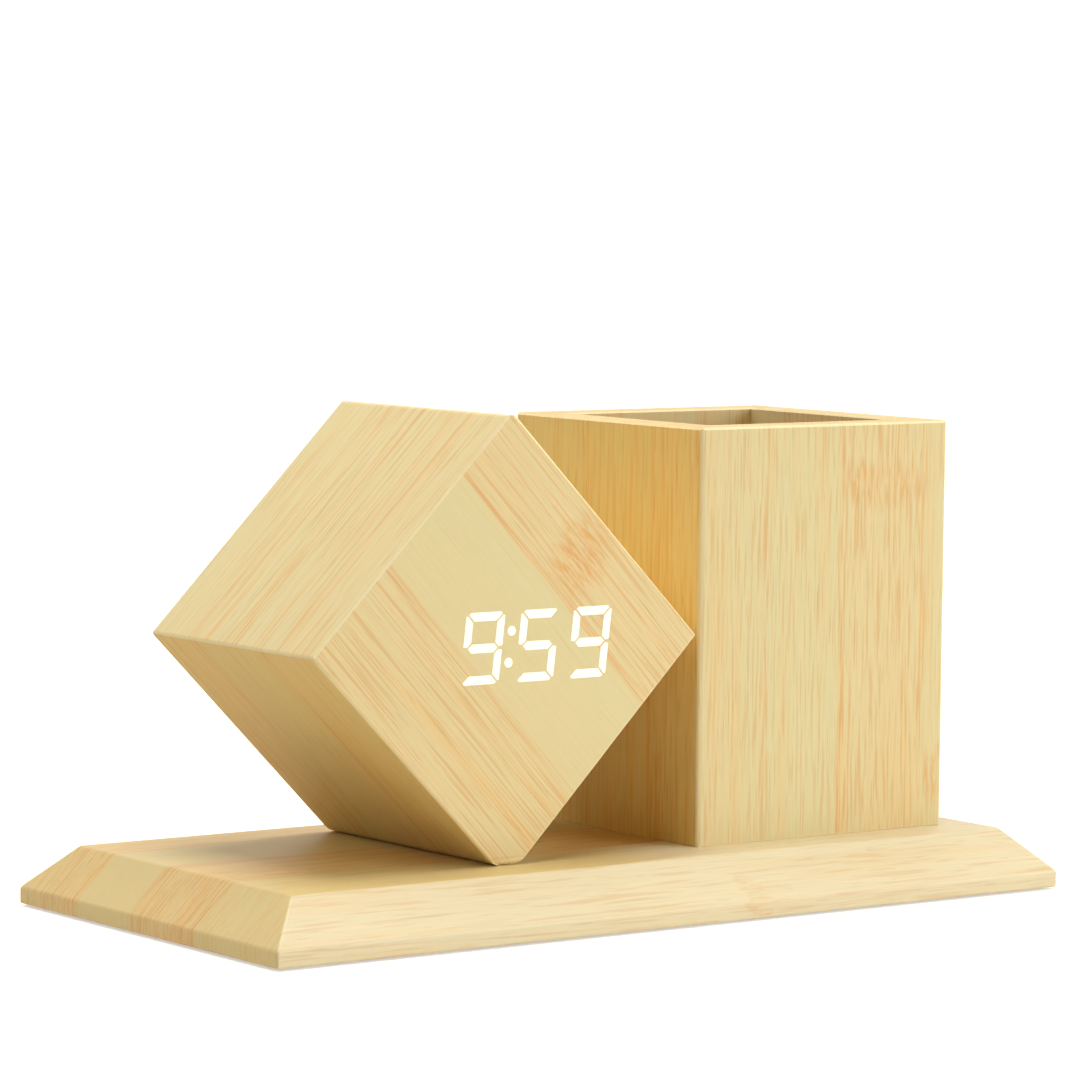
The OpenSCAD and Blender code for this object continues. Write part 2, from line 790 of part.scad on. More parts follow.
module power_inlet() {
    mouth = cover_out - run_gap;
    cavity_l = 6.2;
    tongue_t = 0.7;
    tongue_l = 5;
    color(steel) in_case() translate([-inlet_offset, 0, -strip_z]) {
        difference() {
            raised(strip_out, mouth - strip_out) stadium(inlet_w, inlet_h);
            raised(mouth - cavity_l, big) stadium(inlet_w - 2 * inlet_wall, inlet_h - 2 * inlet_wall);
        }
        slab(0, 0, inlet_w - inlet_h, tongue_t, mouth - cavity_l - cut, mouth - cavity_l + tongue_l);
    }
}

module slide_switch_body() {
    top = strip_out + knob_body_h;
    color(steel) in_case() difference() {
        slab(inlet_offset, -strip_z, knob_body_w, knob_body_d, strip_out, top);
        slab(inlet_offset, -strip_z, slot_l, slot_d, top - knob_sink - run_gap, big);
    }
}

module slide_switch_knob() {
    top = strip_out + knob_body_h;
    color([0.9, 0.9, 0.9]) in_case()
        slab(knob_x, -strip_z, knob_w, knob_d, top - knob_sink, cover_out + knob_proud);
}

module strip_screws() { color(steel) in_case() post_places() pan_screw_back(0, 0, strip_in, strip_screw_l); }

base_board();
foot_pads();
holder_front_wall();
holder_back_wall();
holder_left_wall();
holder_right_wall();
holder_floor();
holder_screws();
case_upper_left_board();
case_upper_right_board();
case_lower_left_board();
case_lower_right_board();
front_panel();
lit_bars();
corner_blocks();
bottom_block();
case_screws();
diffuser_film();
segment_reflector();
segment_leds();
display_board();
display_screws();
control_chip();
clock_crystal();
buzzer();
ribbon_sockets();
button_ribbon();
power_ribbon();
back_cover();
cover_screws();
battery_door();
battery_cells();
battery_contacts();
set_button();
up_button();
down_button();
button_board();
tact_switches();
power_board();
power_inlet();
slide_switch_body();
slide_switch_knob();
strip_screws();
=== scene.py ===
"""Desk clock with pen holder, dressed for rendering.

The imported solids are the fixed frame. The bamboo boards and the small parts that show get eased
edges and worked details, and every piece gets a finish made from nodes.
"""

import math
from contextlib import contextmanager
from dataclasses import dataclass

import bmesh
import bpy
from bpy.props import FloatProperty, FloatVectorProperty, PointerProperty
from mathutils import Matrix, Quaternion, Vector


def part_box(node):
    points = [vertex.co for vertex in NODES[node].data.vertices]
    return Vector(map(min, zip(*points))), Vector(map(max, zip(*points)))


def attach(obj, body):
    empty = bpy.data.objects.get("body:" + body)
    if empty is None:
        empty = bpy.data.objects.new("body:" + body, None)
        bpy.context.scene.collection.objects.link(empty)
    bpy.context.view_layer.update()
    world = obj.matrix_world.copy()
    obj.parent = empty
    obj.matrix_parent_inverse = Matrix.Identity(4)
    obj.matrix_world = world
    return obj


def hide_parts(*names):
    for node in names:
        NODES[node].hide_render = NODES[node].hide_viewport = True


bl_info = {
    "name": "Desk Clock with Pen Holder",
    "version": (1, 0, 0),
    "blender": (4, 5, 0),
    "location": "View3D > Sidebar > Desk Clock",
    "description": "Dresses the solids of a bamboo desk clock with a pen holder",
    "category": "Object",
}

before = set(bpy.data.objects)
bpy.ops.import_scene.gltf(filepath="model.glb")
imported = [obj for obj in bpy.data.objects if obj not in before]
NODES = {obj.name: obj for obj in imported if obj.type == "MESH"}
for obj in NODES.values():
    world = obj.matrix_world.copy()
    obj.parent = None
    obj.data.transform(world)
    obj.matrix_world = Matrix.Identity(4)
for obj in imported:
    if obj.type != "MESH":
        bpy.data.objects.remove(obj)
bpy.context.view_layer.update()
STAND = "stand"
MM = 0.001
DIAGONAL = math.sqrt(0.5)

# Stage, in metres and degrees
IMAGE_LONG_SIDE = 1080
SENSOR = 36.0
LIGHT_AIM = Vector((0.0, 0.0, 0.05))
SOFT_BOX_SIDE = 0.8
SOFT_BOX_DISTANCE = 1.3
SOFT_BOXES = {  # for each: its azimuth, counted from the front to the right, and its elevation
    "top": (0, 90),
    "key": (36, 12),
    "left": (-125, 45),
    "side": (-110, 25),
    "rear": (110, 12),
}
FLOOR_SIDE = 8.0
FLOOR_NEAR, FLOOR_FAR = 0.22, 0.80  # between which the floor fades to plain white
FLOOR_LIFT = 0.50  # share of that white beside the clock
WHITE = (1, 1, 1, 1)

# The case's own frame, in millimetres: turned by half a right angle about the depth
CLOCK = Vector(
    (
        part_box("case_upper_right_board")[0].x,
        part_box("front_panel")[0].y,
        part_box("case_upper_left_board")[0].z,
    )
)
CASE_TURN = math.radians(45)
CASE_HALF = 33.75
CASE_WALL = 7.0
CASE_FOOT = 6.4  # width of the flat that the case stands on
CASE_DEPTH = (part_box("case_upper_left_board")[1].y - CLOCK.y) / MM
SOUND_HOLES = -24.35  # where the row of small holes in the cover lies
SOUND_HOLE_REACH = 3.0

# Where each board's outer face looks: in the case's frame, and in the shared one
CASE_SIDES = {
    "case_upper_left_board": Vector((-1, 0, 0)),
    "case_upper_right_board": Vector((0, 0, 1)),
    "case_lower_left_board": Vector((0, 0, -1)),
    "case_lower_right_board": Vector((1, 0, 0)),
}
HOLDER_SIDES = {
    "holder_front_wall": Vector((0, -1, 0)),
    "holder_left_wall": Vector((-1, 0, 0)),
    "holder_right_wall": Vector((1, 0, 0)),
    "holder_back_wall": Vector((0, 1, 0)),
}

# Worked details, in millimetres
FOOT_ROUND = 2.0
PAD_ROUND = 0.3
COVER_ROUND, DOOR_ROUND = 0.2, 0.15
BUTTON_ROUND, KNOB_ROUND = 0.6, 0.2
MARK_DEPTH = 0.25
DOT, TRIANGLE = (24, 0.8), (3, 1.3)  # sides and radius of a mark
SLOTS = (4.2, 0.9, 3.2), (0.9, 4.2, 3.2)  # they cross in a screw's head
GROOVE = (0.25, 0.5, 5.0)
GROOVE_OFFSETS = (-0.6, 0.0, 0.6)
NEAR = 0.01  # how far off a face a corner still counts as on it
INNER_EASE, HOLDER_FOOT_EASE, REAR_EASE = 0.7, 0.5, 0.6  # shares of the outer edges' ease
CORNER_X, CORNER_Y = 0.85, 0.765  # shares of the board's half size
SHARP = math.radians(20)  # an edge with a larger angle can be rounded
SMOOTH = math.radians(32)  # an edge with a larger angle is shaded as an edge
FLAT = math.radians(0.3)  # triangles at a smaller angle are one face
MERGE, BEVEL_MERGE = 1e-6, 2e-6  # in metres

# Cycles per millimetre of the bamboo's marks: across the grain, along it and into the board
DRIFT = (0.10, 0.006, 0.05)
BANDS = (0.32, 0.010, 0.06)
LINES = (1.7, 0.032, 0.10)
FLECKS = (2.2, 0.110, 0.40)
FIBRES = (3.4, 0.050, 0.60)
KNUCKLE_DASHES = (1.3, 0.180, 0.30)
KNUCKLE_WANDER = (0.28, 0.020, 0.10)

# Other measures of the bamboo, with lengths in millimetres
SEED_ACROSS, SEED_ALONG = 61.0, 1900.0  # how far the seed of a strip moves its marks
LAST_STRIP = 40.0  # room for the last strip
PAINTED_LIGHT_RUN = 25.0  # along which the painted light sets in on the upper face
SEAM_SHIFT, SEAM_FAR, SEAM_NEAR = 0.7, 1.5, 0.2  # of the marks beside a glue line
KNUCKLE_SHIFT = 10.0  # how far the edge of a knuckle wanders
FIRST_SEED, SEED_STEP = 0.17, 0.377
POLISH_ROUGHNESS, POLISH_GLOSS = -0.2, 0.4  # what full polish adds

# Cycles per millimetre of the marks in the other finishes
SPARK = (6.0, 6.0, 6.0)
SPARK_DRIFT = (0.09, 0.07, 0.08)
SCUFFS = (0.9, 0.16, 0.5)
SCRATCHES = (7.0, 0.35, 1.2)
PATCHES = (0.45, 0.45, 0.45)
PEBBLES = (2.4, 2.4, 2.4)
DUST = (0.35, 0.35, 0.35)
WEAVE = (2.0, 2.0, 1.0)
CABLE_DUST = (1.5, 0.2, 1.5)
WEAR = (0.7, 0.7, 0.7)
LIT_FIBRES = (1.6, 0.05, 0.0)
CLOUDS = (0.3, 0.3, 0.3)
NOISE_LOW, NOISE_HIGH = 0.3, 0.7  # most of the soft noise lies between

# Small marks: colours, and places in millimetres
PAINT, PAINT_FAR, PAINT_NEAR = (0.90, 0.90, 0.88), 2.4, 2.2
# painted shade deep in the slots of screw heads
SLOT_SHADE, SLOT_SHADE_TOP, SLOT_SHADE_FLOOR = (0.10, 0.09, 0.08), 0.1, 0.4
TARNISH = (0.72, 0.66, 0.55)
RED_STRAND, RED_NEAR, RED_FAR = (0.72, 0.14, 0.12), -5.0, -5.1
TRACKS = {"Scale": 1.0, "Mortar Size": 0.18, "Brick Width": 5.1, "Row Height": 1.7}
SLEEVE_RING, RING_START, RING_END = (0.86, 0.86, 0.84), 17.2, 18.7
SLEEVE_END = 21.7
PRINT_BLUR = 0.1


def case_point(x, depth, z):
    """A point in the shared frame, from its place along the boards and behind the face."""
    return CLOCK + MM * case_direction(x, depth, z)


def case_direction(x, depth, z):
    """A direction of the case in the shared frame."""
    return Vector(((x + z) * DIAGONAL, depth, (z - x) * DIAGONAL))


def linear(colour):
    """A screen colour from 0 to 1 as the light that it stands for, with full alpha."""
    light = (c / 12.92 if c <= 0.04045 else ((c + 0.055) / 1.055) ** 2.4 for c in colour)
    return (*light, 1.0)


def graded(colour, gain, lift=0.0):
    """The light of a screen colour, made stronger or weaker, with full alpha."""
    return (*(min(1.0, c * gain + lift) for c in linear(colour)[:3]), 1.0)


def dimmed(colour, share):
    """A screen colour with its parts lowered alike."""
    return tuple(share * c for c in colour)


# Finishes


class Wire:
    """An output socket of a finish. A sum written with it adds Math nodes."""

    def __init__(self, finish, socket):
        self.finish, self.socket = finish, socket

    def also(self, name):
        """Another output of the same node."""
        return Wire(self.finish, self.socket.node.outputs[name])

    def _sum(self, operation, *values):
        return self.finish.node("ShaderNodeMath", {"operation": operation}, dict(enumerate(values)))

    def __add__(self, other):
        return self._sum("ADD", self, other)

    def __sub__(self, other):
        return self._sum("SUBTRACT", self, other)

    def __rsub__(self, other):
        return self._sum("SUBTRACT", other, self)

    def __mul__(self, other):
        return self._sum("MULTIPLY", self, other)

    __radd__, __rmul__ = __add__, __mul__

    def __truediv__(self, other):
        return self._sum("DIVIDE", self, other)

    def __mod__(self, other):
        return self._sum("FLOORED_MODULO", self, other)

    def __abs__(self):
        return self._sum("ABSOLUTE", self)

    def most(self, other):
        """The larger of two values."""
        return self._sum("MAXIMUM", self, other)


class Finish:
    """The nodes of a material or a world under construction."""

    def __init__(self, owner):
        owner.use_nodes = True
        self.owner, self.tree = owner, owner.node_tree
        self.tree.nodes.clear()

    def node(self, kind, settings=None, sockets=None, out=0):
        """Adds a node: its settings first, then the values or wires of its sockets."""
        made = self.tree.nodes.new(kind)
        for name, value in (settings or {}).items():
            if name == "stops":
                self._fill_ramp(made.color_ramp, value)
            else:
                setattr(made, name, value)
        for name, value in (sockets or {}).items():
            if isinstance(value, Wire):
                self.tree.links.new(value.socket, made.inputs[name])
            else:
                made.inputs[name].default_value = value
        return Wire(self, made.outputs[out]) if made.outputs else None

    @staticmethod
    def _fill_ramp(ramp, stops):
        ramp.interpolation = "CONSTANT"
        while len(ramp.elements) < len(stops):
            ramp.elements.new(1.0)
        while len(ramp.elements) > len(stops):
            ramp.elements.remove(ramp.elements[-1])
        for element, (position, colour) in zip(ramp.elements, stops):
            element.position, element.color = position, colour

    def _mapped(self, output, turn, **sockets):
        sockets |= {"Vector": self.node("ShaderNodeTexCoord", out=output), "Rotation": (0, turn, 0)}
        return self.node("ShaderNodeMapping", {"vector_type": "TEXTURE"}, sockets)

    def place(self, centre=(0, 0, 0), turn=0.0):
        """Millimetres from a centre in the shared frame, in axes turned about the depth."""
        return self._mapped("Object", turn, Location=centre, Scale=(MM, MM, MM))

    def facing(self, turn):
        """The parts of the surface's direction, in axes turned about the depth."""
        return self.axes(self._mapped("Normal", turn))

    def axes(self, place):
        """The three parts of a place."""
        split = self.node("ShaderNodeSeparateXYZ", {}, {0: place})
        return {"X": split, "Y": split.also("Y"), "Z": split.also("Z")}

    def vector(self, x, y, z):
        """A place from its three parts."""
        return self.node("ShaderNodeCombineXYZ", {}, {0: x, 1: y, 2: z})

    def noise(self, place, per_mm, detail=2.0, rough=0.5):
        """Soft noise around 0.5, with a number of cycles per millimetre on each axis."""
        scaled = self.node("ShaderNodeVectorMath", {"operation": "MULTIPLY"}, {0: place, 1: per_mm})
        sockets = {"Vector": scaled, "Scale": 1.0, "Detail": detail, "Roughness": rough}
        return self.node("ShaderNodeTexNoise", {}, sockets)

    def step(self, value, start, end):
        """A soft step from 0 at start to 1 at end."""
        return self.node(
            "ShaderNodeMapRange",
            {"interpolation_type": "SMOOTHSTEP"},
            {"Value": value, "From Min": start, "From Max": end},
        )

    def blend(self, share, first, second, kind="MIX"):
        """Two colours mixed."""
        settings = {"data_type": "RGBA", "blend_type": kind}
        return self.node("ShaderNodeMix", settings, {0: share, 6: first, 7: second}, out=2)

    def bump(self, height, depth_mm, strength):
        """A surface direction from a height of 0 to 1 that stands for a depth."""
        sockets = {"Height": height, "Distance": depth_mm * MM, "Strength": strength}
        return self.node("ShaderNodeBump", {}, sockets)

    def looked_at(self):
        """1 for rays that show the surroundings, and 0 for rays that only light the clock."""
        path = self.node("ShaderNodeLightPath", out="Is Camera Ray")
        return path.most(path.also("Is Glossy Ray")).most(path.also("Is Transmission Ray"))

    def surface(self, **sockets):
        """Closes the finish with a principled shader, whose sockets are named with underscores."""
        named = {}
        for name, value in sockets.items():
            named[name.replace("_", " ").replace("Specular ", "Specular IOR ")] = value
        shader = self.node("ShaderNodeBsdfPrincipled", {}, named)
        self.node("ShaderNodeOutputMaterial", {}, {"Surface": shader})
        return self.owner


def new_finish(name):
    """The finish of a new material."""
    return Finish(bpy.data.materials.new(name))


@dataclass
class Grain:
    """How the bamboo of a board lies. Lengths are millimetres from its centre."""

    axes: str  # the axes that run across the grain, along it and into the board
    strips: tuple  # for each: where it starts across the grain, its streaks, warmth and share of painted light
    centre: tuple = (0.0, 0.0, 0.0)  # in the shared frame, in metres
    turn: float = 0.0  # of the board about the depth
    slant: float = 0.0  # of the grain against the board
    knuckles: tuple = ()  # for each: its middle across and along, half width, half length, strength
    # the board's own tone; on some boards it is also painted shade
    tone_and_painted_shade: tuple = (1.0, 1.0, 1.0)
    cut_ends: bool = False  # whether the ends of the fibres show
    sanded_and_highlit_edges: bool = True  # whether the edges are lighter: sanded wood, and a painted highlight on them
    dashes: float = 1.0  # how often the fine lines break, from 1 for long lines
    polish: float = 0.0  # how much shinier the board is than the others, from 0 to 1
    painted_light_from: float = None  # where along the grain the painted light covers the upper face too


def bamboo(name, wood, grain):
    """Pressed bamboo: strips side by side, with fibres, reddish streaks, flecks and knuckles."""
    f = new_finish(name)
    place = f.axes(f.place(grain.centre, grain.turn))
    across, along, into = (place[axis] for axis in grain.axes)
    leaning = across + along * grain.slant
    streaky, seed, warmth, painted_light = strip_values(f, grain, leaning)
    facing = f.facing(grain.turn)
    side = f.step(abs(facing[grain.axes[0]]), 0.75, 0.95)
    start = leaning + into * side + seed * SEED_ACROSS
    lie = f.vector(start, along + seed * SEED_ALONG, into)
    fine = f.vector(start, along * grain.dashes + seed * SEED_ALONG, into)
    drift = f.step(f.noise(lie, DRIFT), NOISE_LOW, NOISE_HIGH)
    fibres = f.noise(fine, FIBRES, 3.0, 0.6)
    lines = f.noise(fine, LINES, 2.0, 0.55)
    bands = f.step(f.noise(lie, BANDS), 0.48, 0.68) * streaky
    streaks = f.step(lines + streaky * 0.08, 0.55, 0.70) * (streaky * 0.85 + 0.15)
    flecks = f.step(f.noise(lie, FLECKS), 0.60, 0.74) * (streaky * 0.8 + 0.2)

    colour = f.blend(warmth * 0.8 + drift * 0.3, linear(wood.pale), linear(wood.warm))
    # Painted light: a pale cream on the faces that look to the front, as if lit more strongly
    painted_light_mask = f.step(facing["Y"], -0.3, -0.6)
    if grain.painted_light_from is not None:
        full = grain.painted_light_from + PAINTED_LIGHT_RUN
        painted_light_mask = painted_light_mask.most(f.step(along, grain.painted_light_from, full))
    layers = [
        (painted_light * painted_light_mask, wood.painted_light_colour),
        (bands * wood.blush_share, wood.blush),
        (streaks * wood.streak_share, wood.streak),
        (flecks * wood.fleck_share, wood.fleck),
    ]
    for strip in grain.strips[1:]:
        seam = f.step(abs(leaning - strip[0] - SEAM_SHIFT), SEAM_FAR, SEAM_NEAR)
        layers.append((seam * f.step(lines, 0.38, 0.58) * wood.seam_share, wood.knuckle))
    for knuckle in grain.knuckles:
        mark = knuckle_mark(f, lie, leaning, along, knuckle)
        layers.append((mark * wood.knuckle_share, wood.knuckle))
    for share, tone in layers:
        colour = f.blend(share, colour, linear(tone))
    shade = (f.step(fibres, 0.25, 0.75) - 0.5) * (streaky * 0.06 + 0.035) + 1.0
    tone_and_painted_shade = f.vector(*(shade * share for share in grain.tone_and_painted_shade))
    colour = f.blend(1.0, colour, tone_and_painted_shade, "MULTIPLY")
    if grain.cut_ends:
        flat = {"Vector": f.vector(across, into, 0.0), "Scale": 1.5}
        dots = f.node("ShaderNodeTexVoronoi", {"voronoi_dimensions": "2D"}, flat)
        speckle = f.step(dots, 0.34, 0.18) * 0.55 + drift * 0.25
        cut_colour = f.blend(speckle, linear(wood.cut_end), linear(wood.streak))
        colour = f.blend(f.step(abs(facing[grain.axes[1]]), 0.75, 0.92), colour, cut_colour)
    # Sanded edges, lighter also as a painted highlight where the eased edges turn from the light
    if grain.sanded_and_highlit_edges:
        squarest = abs(facing["X"]).most(abs(facing["Y"])).most(abs(facing["Z"]))
        sanded_and_highlight = f.step(squarest, 0.98, 0.88) * wood.sanded_edge_and_highlight_share
        colour = f.blend(sanded_and_highlight, colour, linear(wood.edge))

    dull = wood.roughness + POLISH_ROUGHNESS * grain.polish
    return f.surface(
        Base_Color=colour,
        Roughness=f.step(fibres, NOISE_LOW, NOISE_HIGH) * 0.10 + flecks * 0.08 + dull,
        Normal=f.bump(fibres * 0.6 - flecks * 0.5 - streaks * 0.2, 0.06, wood.fibre_bump),
        Specular_Level=wood.gloss + POLISH_GLOSS * grain.polish,
    )


def strip_values(f, grain, leaning):
    """The streaks, the seed, the warmth and the share of painted light of the strip at a place."""
    low, high = grain.strips[0][0], grain.strips[-1][0] + LAST_STRIP
    stops = []
    for i, (start, streaks, warmth, *painted_light) in enumerate(grain.strips):
        seed = (FIRST_SEED + SEED_STEP * i) % 1.0
        stops.append(((start - low) / (high - low), (streaks, seed, warmth, sum(painted_light))))
    strip = f.node("ShaderNodeValToRGB", {"stops": stops}, {0: (leaning - low) / (high - low)})
    split = f.node("ShaderNodeSeparateColor", {}, {0: strip})
    return split, split.also("Green"), split.also("Blue"), strip.also("Alpha")


def knuckle_mark(f, lie, leaning, along, knuckle):
    """A patch of short reddish dashes where the cane had a joint."""
    middle_across, middle_along, half_width, half_length, strength = knuckle
    wander = (f.noise(lie, KNUCKLE_WANDER) - 0.5) * KNUCKLE_SHIFT
    off_across = (leaning - middle_across) / half_width
    off_along = (along - middle_along + wander) / half_length
    near = f.step(off_across * off_across + off_along * off_along, 1.0, 0.1)
    dashes = f.step(f.noise(lie, KNUCKLE_DASHES, 3.0, 0.6), 0.42, 0.64)
    return near * (dashes * 0.85 + 0.15) * strength


def moulded(name, colour, rough, marked_tip=None):
    """Moulded plastic: spark texture, uneven gloss, and white paint in a mark cut into its tip."""
    f = new_finish(name)
    place = f.place()
    spark = f.noise(place, SPARK, 3.0, 0.6)
    drift = f.step(f.noise(place, SPARK_DRIFT), NOISE_LOW, NOISE_HIGH)
    scuffs = f.step(f.noise(place, SCUFFS, 4.0, 0.7), 0.58, 0.75)
    plastic = f.blend(drift * 0.6 + spark * 0.4, graded(colour, 1 / 1.3), linear(colour))
    if marked_tip:
        off = f.axes(f.place(marked_tip))
        near = f.step(off["X"] * off["X"] + off["Z"] * off["Z"], PAINT_FAR, PAINT_NEAR)
        paint = f.step(off["Y"], -0.5 * MARK_DEPTH, -0.8 * MARK_DEPTH) * near
        plastic = f.blend(paint, plastic, linear(PAINT))
    return f.surface(
        Base_Color=plastic,
        Roughness=drift * 0.10 + scuffs * 0.14 + (rough - 0.06),
        Normal=f.bump(spark, 0.06, 0.35),
        Specular_Level=0.45,
    )


def plated(name, colour, rough=0.28, head=None):
    """Plated metal: scratches, dull patches, and painted shade in the slots of heads that face the
    back.
    """
    f = new_finish(name)
    place = f.place()
    scratches = f.noise(place, SCRATCHES, 4.0, 0.65)
    patches = f.step(f.noise(place, PATCHES, 3.0), 0.42, 0.66)
    tarnished = (*(c * share for c, share in zip(linear(colour), TARNISH)), 1.0)
    metal = f.blend(patches * 0.45, linear(colour), tarnished)
    if head is not None:
        # Painted shade, darker deeper in the slots
        depth = head / MM - f.axes(place)["Y"]
        metal = f.blend(f.step(depth, SLOT_SHADE_TOP, SLOT_SHADE_FLOOR) * 0.85, metal, linear(SLOT_SHADE))
    return f.surface(
        Base_Color=metal,
        Metallic=1.0,
        Roughness=patches * 0.16 + scratches * 0.14 + (rough - 0.10),
        Normal=f.bump(scratches, 0.03, 0.3),
    )


def rubbery(name, colour):
    """Soft rubber: matt, dusty on its high spots."""
    f = new_finish(name)
    place = f.place()
    pebbles = f.noise(place, PEBBLES, 3.0, 0.6)
    dust = f.step(f.noise(place, DUST, 3.0), 0.45, 0.75)
    return f.surface(
        Base_Color=f.blend(dust, linear(colour), graded(colour, 1.0, 0.05)),
        Roughness=pebbles * 0.15 + 0.72,
        Normal=f.bump(pebbles, 0.10, 0.4),
        Specular_Level=0.3,
    )


def circuit(name, colour):
    """Green circuit board: copper tracks under the lacquer, and a weave of glass cloth."""
    f = new_finish(name)
    axes = f.axes(f.place(CLOCK, CASE_TURN))
    flat = f.vector(axes["X"], axes["Z"], 0.0)
    tracks = f.node(
        "ShaderNodeTexBrick",
        {"offset": 0.37, "squash": 1.6, "squash_frequency": 3},
        {"Vector": flat, **TRACKS},
        out="Fac",
    )
    weave = f.noise(flat, WEAVE)
    lacquer = f.blend(tracks * 0.8 + weave * 0.2, linear(colour), graded(colour, 1.9, 0.01))
    return f.surface(
        Base_Color=lacquer,
        Roughness=weave * 0.16 + 0.24,
        Normal=f.bump(tracks + weave * 0.2, 0.04, 0.4),
    )


def ribbon_cable(name, colour):
    """Flat cable: strands side by side, with one red edge strand."""
    f = new_finish(name)
    across = f.axes(f.place(CLOCK, CASE_TURN))["X"]
    strand = abs((across % 1.0) - 0.5) * 2.0
    edge = f.step(across, RED_NEAR, RED_FAR)
    dust = f.noise(f.place(), CABLE_DUST)
    body = f.blend(dust * 0.3, linear(colour), linear(dimmed(colour, 0.8)))
    return f.surface(
        Base_Color=f.blend(edge, body, linear(RED_STRAND)),
        Roughness=dust * 0.2 + 0.4,
        Normal=f.bump(1.0 - strand, 0.25, 0.6),
    )


def cell_sleeve(name, parts):
    """Battery cell: a printed sleeve with a ring at each end, and bare metal beyond it."""
    f = new_finish(name)
    along = abs(f.axes(f.place(CLOCK, CASE_TURN))["X"])
    ends = f.step(along, SLEEVE_END, SLEEVE_END + PRINT_BLUR)
    within = f.step(along, RING_END, RING_END - PRINT_BLUR)
    rings = f.step(along, RING_START, RING_START + PRINT_BLUR) * within
    wear = f.noise(f.place(), WEAR, 4.0, 0.65)
    worn = f.step(wear, 0.35, 0.7) * 0.35
    sleeve = f.blend(worn, linear(parts.cell), linear(dimmed(parts.cell, 0.75)))
    sleeve = f.blend(rings, sleeve, linear(SLEEVE_RING))
    return f.surface(
        Base_Color=f.blend(ends, sleeve, linear(parts.steel)),
        Metallic=ends,
        Roughness=wear * 0.16 + 0.22,
    )


def lit(name, parts):
    """Light that shines through a thin skin of wood: near white, a little uneven on the fibres."""
    f = new_finish(name)
    axes = f.axes(f.place(CLOCK, CASE_TURN))
    fibres = f.noise(f.vector(axes["Z"], axes["X"], 0.0), LIT_FIBRES, 3.0, 0.6)
    glow = f.blend(f.step(fibres, 0.35, 0.65), linear(parts.lit_edge), linear(parts.lit))
    return f.surface(
        Base_Color=f.blend(1.0, glow, linear(parts.unlit), "MULTIPLY"),
        Roughness=fibres * 0.1 + 0.5,
        Emission_Color=glow,
        Emission_Strength=parts.lit_strength,
        Specular_Level=0.2,
    )


def milky(name, colour, rough=0.5):
    """White display plastic, faintly clouded."""
    f = new_finish(name)
    clouds = f.step(f.noise(f.place(), CLOUDS, 3.0), 0.35, 0.65)
    return f.surface(
        Base_Color=f.blend(clouds, linear(dimmed(colour, 0.93)), linear(colour)),
        Roughness=clouds * 0.12 + rough,
    )


# Shaping


def alone(piece):
    """Selects one object and makes it the active one."""
    bpy.ops.object.select_all(action="DESELECT")
    piece.select_set(True)
    bpy.context.view_layer.objects.active = piece


@contextmanager
def edited(piece):
    """Edit mode on one piece, with nothing selected."""
    alone(piece)
    bpy.ops.object.mode_set(mode="EDIT")
    bpy.ops.mesh.select_mode(type="EDGE")
    bpy.ops.mesh.select_all(action="DESELECT")
    yield
    bpy.ops.object.mode_set(mode="OBJECT")


def shaped(node):
    """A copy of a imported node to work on: its loose triangles joined into whole faces."""
    piece = bpy.data.objects.new(node + "_shaped", NODES[node].data.copy())
    bpy.context.scene.collection.objects.link(piece)
    with edited(piece):
        bpy.ops.mesh.select_all(action="SELECT")
        bpy.ops.mesh.customdata_custom_splitnormals_clear()
        bpy.ops.mesh.remove_doubles(threshold=MERGE)
        bpy.ops.mesh.dissolve_limited(angle_limit=FLAT)
    return piece


def plane_off(piece, cuts):
    """Planes off what lies beyond each plane, and closes the cut."""
    with edited(piece):
        for point, normal in cuts:
            bpy.ops.mesh.select_all(action="SELECT")
            bpy.ops.mesh.bisect(plane_co=point, plane_no=normal, use_fill=True, clear_outer=True)


def edge_plane(corner, first, second, leg):
    """The plane that eases the edge between two square faces, given their outward directions."""
    normal = (Vector(first) + Vector(second)).normalized()
    return Vector(corner) - normal * leg * DIAGONAL, normal


def round_edges(piece, wanted, width, segments=3):
    """Rounds the sharp edges whose two ends a test accepts."""
    with edited(piece):
        chosen = [
            edge
            for edge in bmesh.from_edit_mesh(piece.data).edges
            if edge.calc_face_angle(0.0) > SHARP and all(wanted(end.co) for end in edge.verts)
        ]
        if not chosen:
            raise RuntimeError(f"no edge of {piece.name} is where it should be")
        for edge in chosen:
            edge.select_set(True)
        bmesh.update_edit_mesh(piece.data)
        bpy.ops.mesh.bevel(
            offset=width, offset_type="OFFSET", segments=segments, profile=0.5, affect="EDGES"
        )
        bpy.ops.mesh.select_all(action="SELECT")
        bpy.ops.mesh.remove_doubles(threshold=BEVEL_MERGE)


def round_foot(piece):
    """Rounds the long edges of the flat that the case stands on."""
    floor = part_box("case_lower_left_board")[0].z
    reach = 0.5 * CASE_FOOT * MM
    near = NEAR * MM

    def at_edge(p):
        return abs(p.z - floor) < near and abs(abs(p.x - CLOCK.x) - reach) < near

    round_edges(piece, at_edge, FOOT_ROUND * MM, 4)


def carve(piece, cutter):
    """Cuts the shape of one object out of a piece, and removes that object."""
    alone(piece)
    cut = piece.modifiers.new("carve", "BOOLEAN")
    cut.operation, cut.solver, cut.object = "DIFFERENCE", "EXACT", cutter
    bpy.ops.object.modifier_apply(modifier=cut.name)
    bpy.data.objects.remove(cutter)


def block(place, size, turn=(0, 0, 0)):
    """A block to carve with, with its size in millimetres."""
    bpy.ops.object.select_all(action="DESELECT")
    bpy.ops.mesh.primitive_cube_add(size=MM, location=place, rotation=turn, scale=size)
    return bpy.context.active_object


